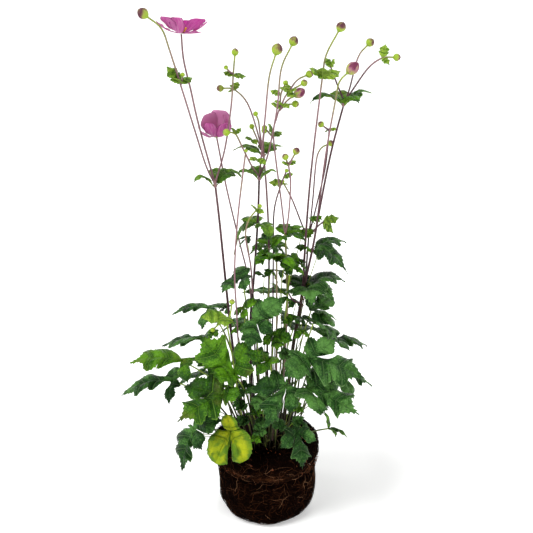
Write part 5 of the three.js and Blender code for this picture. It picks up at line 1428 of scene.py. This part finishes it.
# Colours of the compost by their value, and the looks that follow a piece's tone: its colours,
# the roughness, and the scale and depth of the grain.
COMPOST_COLOURS = [
    (0.36, (0.002, 0.0008, 0.0005)), (0.58, (0.007, 0.0025, 0.0012)), (0.74, (0.032, 0.011, 0.0045)),
    (0.92, (0.11, 0.042, 0.014)),
]
TONED_LOOKS = {
    # Near black at tone 0: a stem's own dark purple deepened by painted shade at its foot.
    "stalk": dict(roughness=0.45, grain=260, depth=0.0002, stops=[
        (0.0, (0.02, 0.008, 0.01)), (0.28, (0.065, 0.027, 0.034)), (0.5, (0.25, 0.135, 0.15)),
        (0.68, (0.2, 0.21, 0.055)), (0.95, LIME),
    ]),
    # Nearly black at the foot: partly the stalk's own dark base, partly painted shade where it leaves the
    # soil under the leaves.
    "petiole": dict(roughness=0.5, grain=260, depth=0.0002, stops=[
        (0.15, (0.008, 0.007, 0.003)), (0.45, (0.05, 0.06, 0.014)), (0.7, (0.13, 0.19, 0.03)), (1.0, LIME),
    ]),
    "bark": dict(roughness=0.8, grain=320, depth=0.0008, stops=[
        (0.0, (0.03, 0.018, 0.013)), (0.7, (0.12, 0.07, 0.042)),
    ]),
    "bud": dict(roughness=0.5, grain=150, depth=0.0003, stretch=(1, 1, 0.5), weave=1.0, stops=[
        (0.1, (0.28, 0.42, 0.03)), (0.4, (0.3, 0.35, 0.06)), (0.68, (0.18, 0.11, 0.06)), (0.95, PURPLE),
    ]),
    "ripe_bud": dict(roughness=0.5, grain=260, depth=0.0003, weave=1.0, stops=[
        (0.1, (0.3, 0.42, 0.05)), (0.42, (0.38, 0.29, 0.14)), (0.66, (0.32, 0.12, 0.18)),
        (0.95, (0.16, 0.03, 0.07)),
    ]),
    "stamen": dict(roughness=0.6, grain=900, depth=0.0001, stops=[
        (0.0, (0.75, 0.55, 0.08)), (1.0, (0.95, 0.5, 0.02)),
    ]),
    "carpel": dict(roughness=0.6, grain=900, depth=0.0001, stops=[
        (0.0, (0.2, 0.32, 0.04)), (0.6, (0.38, 0.5, 0.1)),
    ]),
    "fibre": dict(roughness=0.8, grain=300, depth=0.0002, gloss=0.02, stops=[
        (0.0, (0.006, 0.0018, 0.0009)), (0.3, (0.022, 0.007, 0.003)), (0.65, (0.1, 0.035, 0.014)),
        (1.0, (0.32, 0.17, 0.09)),
    ]),
    "crumb": dict(roughness=0.85, grain=400, depth=0.0004, gloss=0.02, stops=[
        (0.0, (0.005, 0.003, 0.0025)), (0.4, (0.035, 0.014, 0.007)), (0.75, (0.2, 0.06, 0.028)),
        (0.98, (0.6, 0.52, 0.42)),
    ]),
    "stub": dict(roughness=0.7, grain=300, depth=0.0003, stops=[
        (0.0, (0.02, 0.01, 0.006)), (0.5, (0.09, 0.06, 0.025)), (1.0, (0.2, 0.22, 0.05)),
    ]),
}


def make_looks():
    looks = {name: toned(name, **values) for name, values in TONED_LOOKS.items()}
    for name, colours in LEAF_COLOURS.items():
        looks[f"{name}_top"] = leaf_top(f"{name}_top", *colours[:4], TINGES.get(name))
        looks[f"{name}_under"] = leaf_under(f"{name}_under", *colours[4:])
    looks["aged_top"] = aged_top("aged_top")
    looks["aged_under"] = leaf_under("aged_under", *AGED_UNDER)
    looks.update({name: petal(name, *values) for name, values in PETAL_COLOURS.items()})
    looks["compost"] = compost()
    return looks


def pale_look(name, glow):
    """Nearly white, and a little bright by itself, so that it stays even."""
    look = Look(name)
    colour = look.ramp(look.noise(1.5, 2), (0.3, (0.86, 0.86, 0.855)), (0.7, (0.88, 0.88, 0.875)))
    look.set(Base_Color=colour, Roughness=0.8, Specular_IOR_Level=0.1)
    look.set(Emission_Color=(1.0, 1.0, 1.0, 1.0), Emission_Strength=glow)
    return look.material


def add_backdrop():
    """A round pale floor, and a wall round it that is bright enough to look as pale from all sides."""
    turns = np.arange(STUDIO_SIDES) * 2 * math.pi / STUDIO_SIDES
    edge = np.array([outward(turn) for turn in turns]) * STUDIO_RADIUS
    wall = np.concatenate((edge, edge + UP * STUDIO_HEIGHT))
    wall_faces = grid_faces(2, STUDIO_SIDES, ring=True).tolist()
    for name, points, faces, glow in (
        ("floor", edge, [range(STUDIO_SIDES)], FLOOR_GLOW), ("backdrop", wall, wall_faces, BACKDROP_GLOW),
    ):
        mesh = bpy.data.meshes.new(name)
        mesh.from_pydata(points.tolist(), [], faces)
        mesh.materials.append(pale_look(name, glow))
        thing = add_object(name, mesh)
        thing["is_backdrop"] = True


def add_light(name, kind, place, power, aim=(0, 0, 0), **settings):
    """A lamp at a place that shines towards its aim."""
    lamp = bpy.data.lights.new(name, kind)
    lamp.energy = power
    for setting, value in settings.items():
        setattr(lamp, setting, value)
    light = add_object(name, lamp)
    light.location = place
    light.rotation_euler = (Vector(aim) - Vector(place)).to_track_quat("-Z", "Y").to_euler()


def add_camera():
    lens = bpy.data.cameras.new("camera")
    lens.lens, lens.sensor_width, lens.clip_end = CAMERA_LENS, CAMERA_SENSOR, 100
    camera = add_object("camera", lens)
    camera.location = CAMERA_PLACE
    camera.rotation_euler = (math.radians(CAMERA_TILT_DEG), 0, 0)
    bpy.context.scene.camera = camera


def add_studio():
    world = bpy.data.worlds.new("studio")
    world.use_nodes = True
    back = world.node_tree.nodes["Background"]
    back.inputs["Color"].default_value = (1.0, 1.0, 1.0, 1)
    back.inputs["Strength"].default_value = WORLD_GLOW
    bpy.context.scene.world = world
    bpy.context.scene.view_settings.view_transform = "Standard"
    add_light("key", "SUN", (-0.6, -0.45, 1.1), 2.9, angle=math.radians(30))
    add_light("fill", "AREA", (1.8, -1.3, 0.9), 10, LIGHT_AIM, shape="DISK", size=1.4)
    add_light("rim", "AREA", (0.6, 1.6, 1.9), 16, LIGHT_AIM, shape="DISK", size=1.0)
    add_camera()
    add_backdrop()


def plain(box):
    """A box as plain lists of numbers."""
    return [[round(float(number), 5) for number in corner] for corner in box]


LOOKS = make_looks()
for name, (root, node, tips, others) in LEAVES.items():
    add_leaf(name, *metres((root, node, tips)), **others)
for name, (root, tones, slot, shoots, tufts) in STEMS.items():
    add_stem(name, tones, slot, *metres((root, shoots, tufts)))
for name, (at, along, radius, tips, others) in WHORLS.items():
    add_whorl(name, *metres((at, along, radius, tips)), **others)
for name, (at, facing, petals) in BLOOMS.items():
    add_bloom(name, np.array(metres(at)), facing, petals)
ball_side = Side()
add_root_ball(ball_side)
add_fibres(ball_side)
add_crumbs(ball_side)
add_crown()
for number, (root, node, tip, look) in enumerate(SMALL_LEAVES, start=1):
    add_small_leaf(number, *metres((root, node, tip)), look)
add_studio()

{"cad": plain(cad_box), "visual": plain(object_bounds())}
